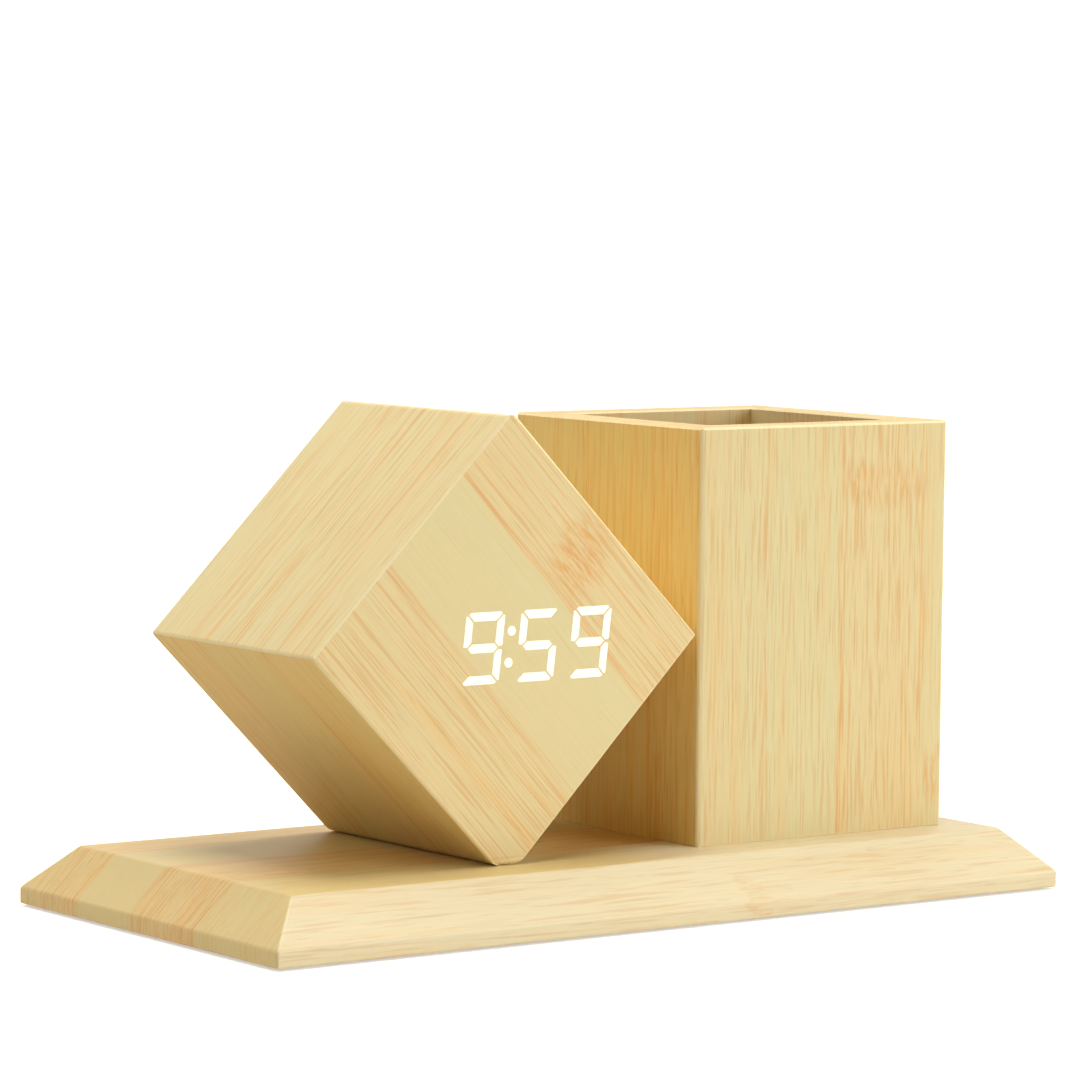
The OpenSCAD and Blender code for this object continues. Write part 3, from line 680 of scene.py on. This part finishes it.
def prism(place, sides, radius, turn):
    """A short prism to carve with: a triangle, or a round one if it has many sides."""
    bpy.ops.object.select_all(action="DESELECT")
    bpy.ops.mesh.primitive_cylinder_add(
        vertices=sides, radius=radius * MM, depth=2 * MARK_DEPTH * MM, location=place, rotation=turn
    )
    return bpy.context.active_object


def settle(piece, body, finish, slot, *nodes):
    """Finishes a piece: even shading, its material, its body and the nodes that it stands for."""
    alone(piece)
    bpy.ops.object.shade_smooth_by_angle(angle=SMOOTH)
    even = piece.modifiers.new("even", "WEIGHTED_NORMAL")
    even.keep_sharp, even.weight = True, 100
    bpy.ops.object.modifier_apply(modifier=even.name)
    piece.data.materials.clear()
    piece.data.materials.append(finish)
    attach(piece, body)
    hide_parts(*nodes)


def dress(finish, *nodes):
    """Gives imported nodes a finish."""
    for node in nodes:
        for slot in NODES[node].material_slots:
            slot.material = finish


# Settings


def setting(kind, **limits):
    """Gives a function that makes settings of one kind."""

    def make(name, description, default):
        return kind(name=name, description=description, default=default, **limits)

    return make


colour_property = setting(FloatVectorProperty, min=0.0, max=1.0, subtype="COLOR_GAMMA")
share_property = setting(FloatProperty, min=0.0, max=1.0, subtype="FACTOR")
amount_property = setting(FloatProperty, min=0.0)
width_property = setting(FloatProperty, min=0.0001, unit="LENGTH")
angle_property = setting(FloatProperty, subtype="ANGLE")
place_property = setting(FloatVectorProperty, subtype="XYZ")


class DeskClockWood(bpy.types.PropertyGroup):
    """Colours of the bamboo and how its edges are eased."""

    pale: colour_property("Pale", "Plain bamboo between the streaks", (0.898, 0.850, 0.652))
    warm: colour_property("Warm", "Bamboo of a warmer strip", (0.922, 0.828, 0.620))
    # Painted light: the pale colour laid on the faces that the light falls on most
    painted_light_colour: colour_property("Cream", "Bleached bamboo", (0.952, 0.930, 0.860))
    blush: colour_property("Blush", "Soft bands of a pinkish tone", (0.942, 0.775, 0.520))
    streak: colour_property("Streak", "Thin brown streaks along the grain", (0.865, 0.630, 0.350))
    fleck: colour_property("Fleck", "Short dark flecks", (0.740, 0.500, 0.235))
    knuckle: colour_property("Knuckle", "Marks where the cane had a joint", (0.905, 0.672, 0.405))
    cut_end: colour_property("Cut end", "Cut ends of the fibres", (0.890, 0.800, 0.590))
    # colour of the sanded edges, which also serves as a painted highlight on them
    edge: colour_property("Edge", "Sanded edges", (0.985, 0.925, 0.750))
    blush_share: share_property("Blush share", "Strength of the soft bands", 0.45)
    streak_share: share_property("Streak share", "Strength of the streaks", 0.48)
    fleck_share: share_property("Fleck share", "Strength of the flecks", 0.30)
    seam_share: share_property("Seam share", "Strength of the marks along the glue lines", 0.40)
    knuckle_share: share_property("Knuckle share", "Strength of the knuckles", 0.62)
    sanded_edge_and_highlight_share: share_property("Edge share", "Strength of the sanded edges", 0.60)
    roughness: share_property("Roughness", "Least roughness of the lacquer", 0.56)
    gloss: share_property("Gloss", "Strength of the lacquer's reflections", 0.18)
    fibre_bump: share_property("Fibre bump", "Strength of the fibres' relief", 0.30)
    ease: width_property("Ease", "Width planed off the outer edges", 0.0005)


class DeskClockParts(bpy.types.PropertyGroup):
    """Colours of the parts that aren't bamboo."""

    lit: colour_property("Lit bars", "Colour of the light in the bars", (1.0, 1.0, 1.0))
    lit_edge: colour_property("Lit fibres", "Colour where fibres dim the light", (1.0, 0.99, 0.96))
    unlit: colour_property("Unlit bars", "Bars without their light", (0.82, 0.80, 0.74))
    lit_strength: amount_property("Lit strength", "Brightness of the bars", 0.56)
    cover: colour_property("Cover", "Back cover and battery door", (0.125, 0.125, 0.130))
    button: colour_property("Buttons", "Push buttons", (0.33, 0.33, 0.35))
    knob: colour_property("Switch knob", "Knob of the slide switch", (0.88, 0.88, 0.86))
    pad: colour_property("Foot pads", "Rubber pads under the board", (0.13, 0.13, 0.13))
    steel: colour_property("Steel", "Screws, inlet and contacts", (0.64, 0.64, 0.65))
    board: colour_property("Circuit board", "Lacquer of the circuit boards", (0.06, 0.30, 0.16))
    chip: colour_property("Chips", "Chips, switches and buzzer", (0.08, 0.08, 0.085))
    cell: colour_property("Battery cells", "Sleeve of the battery cells", (0.20, 0.34, 0.42))
    ribbon: colour_property("Ribbon", "Flat cable", (0.62, 0.62, 0.64))
    film: colour_property("Film", "Diffuser film of the display", (0.95, 0.95, 0.93))
    reflector: colour_property("Reflector", "Reflector of the display", (0.92, 0.92, 0.90))
    lamp_chip: colour_property("Lamp chips", "Small lamps of the display", (0.95, 0.85, 0.55))


class DeskClockStage(bpy.types.PropertyGroup):
    """Camera and light."""

    camera_place: place_property("Camera", "Its place", (-0.612427, -0.834485, 0.158976))
    yaw: angle_property("Yaw", "Turn of the camera to the right", math.radians(36.105))
    pitch: angle_property("Pitch", "Tilt of the camera", math.radians(-4.598))
    roll: angle_property("Roll", "Roll of the camera", math.radians(0.623))
    focal_pixels: amount_property("Focal length", "In pixels of the image", 4940.4)
    ambient: amount_property("Ambient", "Light from all around", 0.06)
    fill: colour_property("Fill", "Colour of the light from all around", (1.0, 0.78, 0.46))
    top: amount_property("Top light", "Soft box overhead, in watts", 15.9)
    key: amount_property("Key light", "Low soft box at the front right, in watts", 11.0)
    left: amount_property("Left light", "Soft box at the back left, in watts", 3.7)
    side: amount_property("Side light", "Soft box at the left, in watts", 0.8)
    rear: amount_property("Rear light", "Low soft box behind the right end, in watts", 3.1)
    floor: colour_property("Floor", "Colour of the floor", (0.93, 0.91, 0.86))


# Pieces


class DESKCLOCK_OT_base_board(bpy.types.Operator):
    """Builds the bevelled base board"""

    bl_idname = "desk_clock.base_board"
    bl_label = "Base Board"

    def execute(self, context):
        wood = context.scene.desk_clock_wood
        grain = Grain(
            axes="YXZ",
            strips=(
                # the front strip's last value is painted light on its faces that look to the front
                (-49.0, 0.44, 0.20, 0.80),
                (-19.3, 1.00, 1.00),
                (4.4, 0.12, 0.05),
                (26.0, 0.80, 0.80),
                (35.0, 0.70, 0.70),
            ),
            knuckles=((-48.5, 17.5, 6.5, 4.0, 0.6),),
            tone_and_painted_shade=(0.885, 0.825, 0.665),
            sanded_and_highlit_edges=False,
            dashes=1.4,
            polish=0.7,
            # painted light on the upper face to the right of the clock, where more light falls
            painted_light_from=-14.0,
        )
        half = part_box("base_board")[1]
        corner_x, corner_y = CORNER_X * half.x, CORNER_Y * half.y
        piece = shaped("base_board")
        round_edges(piece, lambda p: abs(p.x) > corner_x and abs(p.y) > corner_y, wood.ease)
        settle(piece, STAND, bamboo("base_bamboo", wood, grain), "bamboo", "base_board")
        return {"FINISHED"}


class DESKCLOCK_OT_foot_pads(bpy.types.Operator):
    """Builds the rubber foot pads"""

    bl_idname = "desk_clock.foot_pads"
    bl_label = "Foot Pads"

    def execute(self, context):
        rubber = rubbery("pad_rubber_finish", context.scene.desk_clock_parts.pad)
        piece = shaped("foot_pads")
        round_edges(piece, lambda p: p.z < NEAR * MM, PAD_ROUND * MM)
        settle(piece, STAND, rubber, "pad_rubber", "foot_pads")
        return {"FINISHED"}


class DESKCLOCK_OT_pen_holder(bpy.types.Operator):
    """Builds the four walls and the floor of the pen holder"""

    bl_idname = "desk_clock.pen_holder"
    bl_label = "Pen Holder"

    def execute(self, context):
        wood = context.scene.desk_clock_wood
        own = {"cut_ends": True, "dashes": 1.7}
        grains = {
            "holder_front_wall": Grain(
                axes="XZY",
                strips=(
                    (16.0, 0.65, 0.35),
                    (33.0, 0.60, 0.15),
                    (53.6, 0.82, 0.65),
                    (76.4, 0.40, 0.10),
                ),
                knuckles=(
                    (66.0, 87.0, 14.5, 6.0, 0.9),
                    (58.0, 87.5, 4.5, 6.5, 0.6),
                    (81.5, 24.0, 5.5, 7.5, 0.9),
                ),
                tone_and_painted_shade=(0.96, 0.98, 0.99),
                **own,
            ),
            "holder_left_wall": Grain(
                axes="YZX",
                strips=((-31.0, 0.75, 0.75), (-14.0, 0.50, 0.40), (8.0, 0.60, 0.55)),
                # painted shade: a deeper gold for the wall that stands in the clock's shade
                tone_and_painted_shade=(1.05, 0.98, 0.72),
                **own,
            ),
            "holder_right_wall": Grain(
                axes="YZX",
                strips=((-31.0, 0.35, 0.30), (-8.0, 0.80, 0.60), (15.0, 0.25, 0.20)),
                **own,
            ),
            "holder_back_wall": Grain(
                axes="XZY",
                strips=((16.0, 0.70, 0.50), (38.0, 0.25, 0.20), (60.0, 0.55, 0.50)),
                knuckles=((49.0, 60.0, 10.0, 6.0, 0.9),),
                **own,
            ),
        }
        up = Vector((0, 0, 1))
        for node, grain in grains.items():
            out = HOLDER_SIDES[node]
            low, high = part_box(node)
            outer, inner = (high, low) if max(out) > 0 else (low, high)
            piece = shaped(node)
            plane_off(
                piece,
                (
                    edge_plane((outer.x, outer.y, high.z), out, up, wood.ease),
                    edge_plane((inner.x, inner.y, high.z), -out, up, INNER_EASE * wood.ease),
                    edge_plane((outer.x, outer.y, low.z), out, -up, HOLDER_FOOT_EASE * wood.ease),
                ),
            )
            settle(piece, STAND, bamboo(node + "_bamboo", wood, grain), "bamboo", node)
        floor = Grain(axes="YXZ", strips=((-23.0, 0.4, 0.5), (-5.0, 0.7, 0.7), (13.0, 0.3, 0.4)))
        dress(bamboo("holder_floor_bamboo", wood, floor), "holder_floor")
        return {"FINISHED"}


class DESKCLOCK_OT_case_boards(bpy.types.Operator):
    """Builds the four boards round the clock"""

    bl_idname = "desk_clock.case_boards"
    bl_label = "Case Boards"

    def execute(self, context):
        wood = context.scene.desk_clock_wood
        own = {"centre": tuple(CLOCK), "turn": CASE_TURN, "dashes": 1.4}
        grains = {
            "case_upper_left_board": Grain(
                axes="YZX",
                strips=((-1, 0.60, 0.40), (13, 0.60, 0.30), (29, 0.70, 0.30), (45, 0.45, 0.15)),
                **own,
            ),
            "case_upper_right_board": Grain(
                axes="YXZ",
                strips=((-1, 0.35, 0.30), (20, 0.70, 0.50), (42, 0.35, 0.20)),
                # painted light: a warmer tint for the golden glow this board throws onto the
                # holder's left wall
                tone_and_painted_shade=(0.98, 0.94, 0.78),
                **own,
            ),
            "case_lower_left_board": Grain(
                axes="YXZ",
                strips=((-1, 0.45, 0.45), (18, 0.35, 0.25), (43, 0.65, 0.70)),
                # painted shade: darker and deeper gold for the board that faces down
                tone_and_painted_shade=(0.91, 0.84, 0.66),
                **own,
            ),
            "case_lower_right_board": Grain(
                axes="YZX",
                strips=((-1, 0.60, 0.40), (22, 0.35, 0.30), (44, 0.50, 0.50)),
                # painted shade: a warmer tint that deepens the shade this board throws onto the
                # base top
                tone_and_painted_shade=(1.0, 0.94, 0.74),
                **own,
            ),
        }
        back = Vector((0, 1, 0))
        for node, grain in grains.items():
            side = CASE_SIDES[node]
            out = case_direction(*side)
            face = case_point(*(side * CASE_HALF))
            rear = face + back * CASE_DEPTH * MM
            rear_inner = rear - out * CASE_WALL * MM
            piece = shaped(node)
            if "lower" in node:
                round_foot(piece)
            plane_off(
                piece,
                (
                    edge_plane(face, out, -back, wood.ease),
                    edge_plane(rear, out, back, wood.ease),
                    edge_plane(rear_inner, -out, back, REAR_EASE * wood.ease),
                ),
            )
            settle(piece, STAND, bamboo(node + "_bamboo", wood, grain), "bamboo", node)
        return {"FINISHED"}


class DESKCLOCK_OT_front_panel(bpy.types.Operator):
    """Builds the clock's face with its lit bars"""

    bl_idname = "desk_clock.front_panel"
    bl_label = "Front Panel"

    def execute(self, context):
        wood = context.scene.desk_clock_wood
        grain = Grain(
            axes="ZXY",
            strips=((-34.0, 0.78, 0.50), (-10.6, 0.02, 0.00), (15.2, 0.75, 0.65)),
            centre=tuple(CLOCK),
            turn=CASE_TURN,
            slant=0.03,
            knuckles=((25.2, -0.4, 11.0, 8.5, 1.35),),
        )
        front = Vector((0, -1, 0))
        piece = shaped("front_panel")
        round_foot(piece)
        cuts = [
            edge_plane(case_point(*(side * CASE_HALF)), case_direction(*side), front, wood.ease)
            for side in CASE_SIDES.values()
        ]
        plane_off(piece, cuts)
        settle(piece, STAND, bamboo("front_panel_bamboo", wood, grain), "bamboo", "front_panel")
        dress(lit("lit_bars_finish", context.scene.desk_clock_parts), "lit_bars")
        return {"FINISHED"}


class DESKCLOCK_OT_inner_blocks(bpy.types.Operator):
    """Dresses the blocks inside the case"""

    bl_idname = "desk_clock.inner_blocks"
    bl_label = "Inner Blocks"

    def execute(self, context):
        grain = Grain(
            axes="XYZ",
            strips=((-60.0, 0.5, 0.6),),
            centre=tuple(CLOCK),
            turn=CASE_TURN,
            tone_and_painted_shade=(0.85, 0.75, 0.60),
        )
        rough_wood = bamboo("inner_wood_finish", context.scene.desk_clock_wood, grain)
        dress(rough_wood, "corner_blocks", "bottom_block")
        return {"FINISHED"}


class DESKCLOCK_OT_screws(bpy.types.Operator):
    """Builds the wood screws with their crossed slots, and dresses the small screws"""

    bl_idname = "desk_clock.screws"
    bl_label = "Screws"

    def execute(self, context):
        colour = context.scene.desk_clock_parts.steel
        steel = plated("screw_steel_finish", colour)
        for node in ("holder_screws", "case_screws"):
            piece = shaped(node)
            for place in self.head_centres(piece):
                for size in SLOTS:
                    carve(piece, block(place, size))
            settle(piece, STAND, steel, "screw_steel", node)
        dress(steel, "display_screws", "strip_screws")
        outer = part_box("cover_screws")[1].y
        dress(plated("cover_screw_finish", colour, head=outer), "cover_screws")
        return {"FINISHED"}

    def head_centres(self, piece):
        """The middles of the flat heads, which face down."""
        least = (2 * MM) ** 2
        heads = [f for f in piece.data.polygons if f.normal.z < -0.99 and f.area > least]
        if len(heads) != 2:
            raise RuntimeError(f"{piece.name} has {len(heads)} heads, not 2")
        return [f.center.copy() for f in heads]


class DESKCLOCK_OT_display(bpy.types.Operator):
    """Dresses the display and the parts on its board"""

    bl_idname = "desk_clock.display"
    bl_label = "Display"

    def execute(self, context):
        parts = context.scene.desk_clock_parts
        green = circuit("board_green_finish", parts.board)
        metal = plated("can_finish", parts.steel, 0.25)
        dress(milky("film_finish", parts.film), "diffuser_film")
        dress(
            milky("reflector_finish", parts.reflector, 0.4), "segment_reflector", "ribbon_sockets"
        )
        dress(milky("lamp_chip_finish", parts.lamp_chip, 0.2), "segment_leds")
        dress(green, "display_board", "button_board", "power_board")
        dress(moulded("chip_finish", parts.chip, 0.45), "control_chip", "buzzer", "tact_switches")
        dress(metal, "clock_crystal", "power_inlet", "slide_switch_body")
        dress(ribbon_cable("ribbon_finish", parts.ribbon), "button_ribbon", "power_ribbon")
        return {"FINISHED"}


class DESKCLOCK_OT_back_cover(bpy.types.Operator):
    """Builds the back cover and the battery door with eased edges"""

    bl_idname = "desk_clock.back_cover"
    bl_label = "Back Cover"

    def execute(self, context):
        black = moulded("cover_finish", context.scene.desk_clock_parts.cover, 0.48)
        for node, body, width in (
            ("back_cover", STAND, COVER_ROUND),
            ("battery_door", "battery_door", DOOR_ROUND),
        ):
            piece = shaped(node)
            round_edges(piece, self.outer_edge(node), width * MM, 2)
            settle(piece, body, black, "cover_black", node)
        return {"FINISHED"}

    def outer_edge(self, node):
        """A test for corners at the back of a node, away from the sound holes."""
        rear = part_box(node)[1].y - NEAR * MM
        holes = case_point(0, 0, SOUND_HOLES)
        return lambda p: p.y > rear and (p - holes).xz.length > SOUND_HOLE_REACH * MM


class DESKCLOCK_OT_batteries(bpy.types.Operator):
    """Dresses the battery cells and their contacts"""

    bl_idname = "desk_clock.batteries"
    bl_label = "Batteries"

    def execute(self, context):
        parts = context.scene.desk_clock_parts
        dress(cell_sleeve("cell_finish", parts), "battery_cells")
        dress(plated("contact_finish", parts.steel, 0.22), "battery_contacts")
        return {"FINISHED"}


class DESKCLOCK_OT_buttons(bpy.types.Operator):
    """Builds the push buttons with their marks, and the grooved switch knob"""

    bl_idname = "desk_clock.buttons"
    bl_label = "Buttons"

    def execute(self, context):
        parts = context.scene.desk_clock_parts
        upright, upside_down = (math.pi / 2, 0, 0), (-math.pi / 2, 0, 0)
        marks = {
            "set_button": (DOT, upright),
            "up_button": (TRIANGLE, upright),
            "down_button": (TRIANGLE, upside_down),
        }
        for node, ((sides, radius), turn) in marks.items():
            piece, tip = self.rounded(node, BUTTON_ROUND)
            carve(piece, prism(tip, sides, radius, turn))
            grey = moulded(node + "_finish", parts.button, 0.45, tip)
            settle(piece, node, grey, "button_grey", node)
        knob = "slide_switch_knob"
        piece, tip = self.rounded(knob, KNOB_ROUND)
        for offset in GROOVE_OFFSETS:
            place = tip + MM * case_direction(offset, 0, 0)
            carve(piece, block(place, GROOVE, (0, CASE_TURN, 0)))
        settle(piece, knob, moulded("knob_finish", parts.knob, 0.4), "knob_white", knob)
        return {"FINISHED"}

    def rounded(self, node, width):
        """A copy of a node whose rear edges are rounded, and the middle of its rear face."""
        low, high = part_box(node)
        piece = shaped(node)
        rear = high.y - NEAR * MM
        round_edges(piece, lambda p: p.y > rear, width * MM, 4)
        return piece, Vector(((low.x + high.x) / 2, high.y, (low.z + high.z) / 2))


# Stage


class DESKCLOCK_OT_stage(bpy.types.Operator):
    """Sets up the floor, the soft light and the camera"""

    bl_idname = "desk_clock.stage"
    bl_label = "Stage"

    def execute(self, context):
        stage = context.scene.desk_clock_stage
        self.floor(stage)
        self.world(context.scene, stage)
        for name, (azimuth, elevation) in SOFT_BOXES.items():
            self.soft_box(name + "_light", azimuth, elevation, getattr(stage, name))
        self.camera(context.scene, stage)
        context.scene.view_settings.view_transform = "Standard"
        return {"FINISHED"}

    def floor(self, stage):
        """A sheet of paper that takes the shadow near the clock and fades to plain white."""
        bpy.ops.object.select_all(action="DESELECT")
        bpy.ops.mesh.primitive_plane_add(size=FLOOR_SIDE)
        floor = bpy.context.active_object
        floor.name = "floor"
        f = new_finish("floor_paper")
        place = f.node("ShaderNodeTexCoord", out="Object")
        away = f.node("ShaderNodeVectorMath", {"operation": "LENGTH"}, {0: place}, out="Value")
        lift = f.step(away, FLOOR_NEAR, FLOOR_FAR) * (1.0 - FLOOR_LIFT) + FLOOR_LIFT
        paper = f.node("ShaderNodeBsdfDiffuse", {}, {"Color": linear(stage.floor)})
        glow = {"Color": WHITE, "Strength": f.looked_at() * lift}
        white = f.node("ShaderNodeEmission", {}, glow)
        both = f.node("ShaderNodeAddShader", {}, {0: paper, 1: white})
        f.node("ShaderNodeOutputMaterial", {}, {"Surface": both})
        floor.data.materials.append(f.owner)

    def world(self, scene, stage):
        """White where it is looked at, and a dim warm light on the clock."""
        f = Finish(bpy.data.worlds.new("studio"))
        seen = f.looked_at()
        light = {
            "Color": f.blend(seen, linear(stage.fill), WHITE),
            "Strength": seen * (1.0 - stage.ambient) + stage.ambient,
        }
        sky = f.node("ShaderNodeBackground", {}, light)
        f.node("ShaderNodeOutputWorld", {}, {"Surface": sky})
        scene.world = f.owner

    def soft_box(self, name, azimuth, elevation, watts):
        """A square lamp that faces the clock."""
        lamp = bpy.data.lights.new(name, "AREA")
        lamp.size, lamp.energy = SOFT_BOX_SIDE, watts
        box = bpy.data.objects.new(name, lamp)
        bpy.context.scene.collection.objects.link(box)
        turn, rise = math.radians(azimuth), math.radians(elevation)
        level = math.cos(rise)
        away = Vector((math.sin(turn) * level, -math.cos(turn) * level, math.sin(rise)))
        box.location = LIGHT_AIM + away * SOFT_BOX_DISTANCE
        box.rotation_euler = (-away).to_track_quat("-Z", "Y").to_euler()

    def camera(self, scene, stage):
        """The camera of the photograph."""
        data = bpy.data.cameras.new("photo_camera")
        data.sensor_width = SENSOR
        data.lens = stage.focal_pixels / IMAGE_LONG_SIDE * SENSOR
        data.clip_start, data.clip_end = 0.05, 20.0
        camera = bpy.data.objects.new("photo_camera", data)
        scene.collection.objects.link(camera)
        level = math.cos(stage.pitch)
        across, forward = math.sin(stage.yaw) * level, math.cos(stage.yaw) * level
        ahead = Vector((across, forward, math.sin(stage.pitch))).to_track_quat("-Z", "Y")
        camera.rotation_mode = "QUATERNION"
        camera.rotation_quaternion = ahead @ Quaternion((0, 0, 1), stage.roll)
        camera.location = stage.camera_place
        scene.camera = camera


OPERATORS = (
    DESKCLOCK_OT_stage,
    DESKCLOCK_OT_base_board,
    DESKCLOCK_OT_foot_pads,
    DESKCLOCK_OT_pen_holder,
    DESKCLOCK_OT_case_boards,
    DESKCLOCK_OT_front_panel,
    DESKCLOCK_OT_inner_blocks,
    DESKCLOCK_OT_screws,
    DESKCLOCK_OT_display,
    DESKCLOCK_OT_back_cover,
    DESKCLOCK_OT_batteries,
    DESKCLOCK_OT_buttons,
)
SETTINGS = {
    "desk_clock_wood": DeskClockWood,
    "desk_clock_parts": DeskClockParts,
    "desk_clock_stage": DeskClockStage,
}


class DESKCLOCK_PT_sidebar(bpy.types.Panel):
    """Lists the pieces of the desk clock"""

    bl_idname = "DESKCLOCK_PT_sidebar"
    bl_label = "Desk Clock"
    bl_space_type = "VIEW_3D"
    bl_region_type = "UI"
    bl_category = "Desk Clock"

    def draw(self, context):
        for operator in OPERATORS:
            self.layout.operator(operator.bl_idname)
        for group in SETTINGS:
            settings = getattr(context.scene, group)
            box = self.layout.box()
            for name in settings.bl_rna.properties.keys():
                if name not in {"rna_type", "name"}:
                    box.prop(settings, name)


CLASSES = (*SETTINGS.values(), *OPERATORS, DESKCLOCK_PT_sidebar)


def register():
    for cls in CLASSES:
        bpy.utils.register_class(cls)
    for name, group in SETTINGS.items():
        setattr(bpy.types.Scene, name, PointerProperty(type=group))


def unregister():
    for name in SETTINGS:
        delattr(bpy.types.Scene, name)
    for cls in reversed(CLASSES):
        bpy.utils.unregister_class(cls)


def main():
    """Builds everything in order."""
    register()
    for operator in OPERATORS:
        group, name = operator.bl_idname.split(".")
        getattr(getattr(bpy.ops, group), name)()


if __name__ == "__main__":
    main()
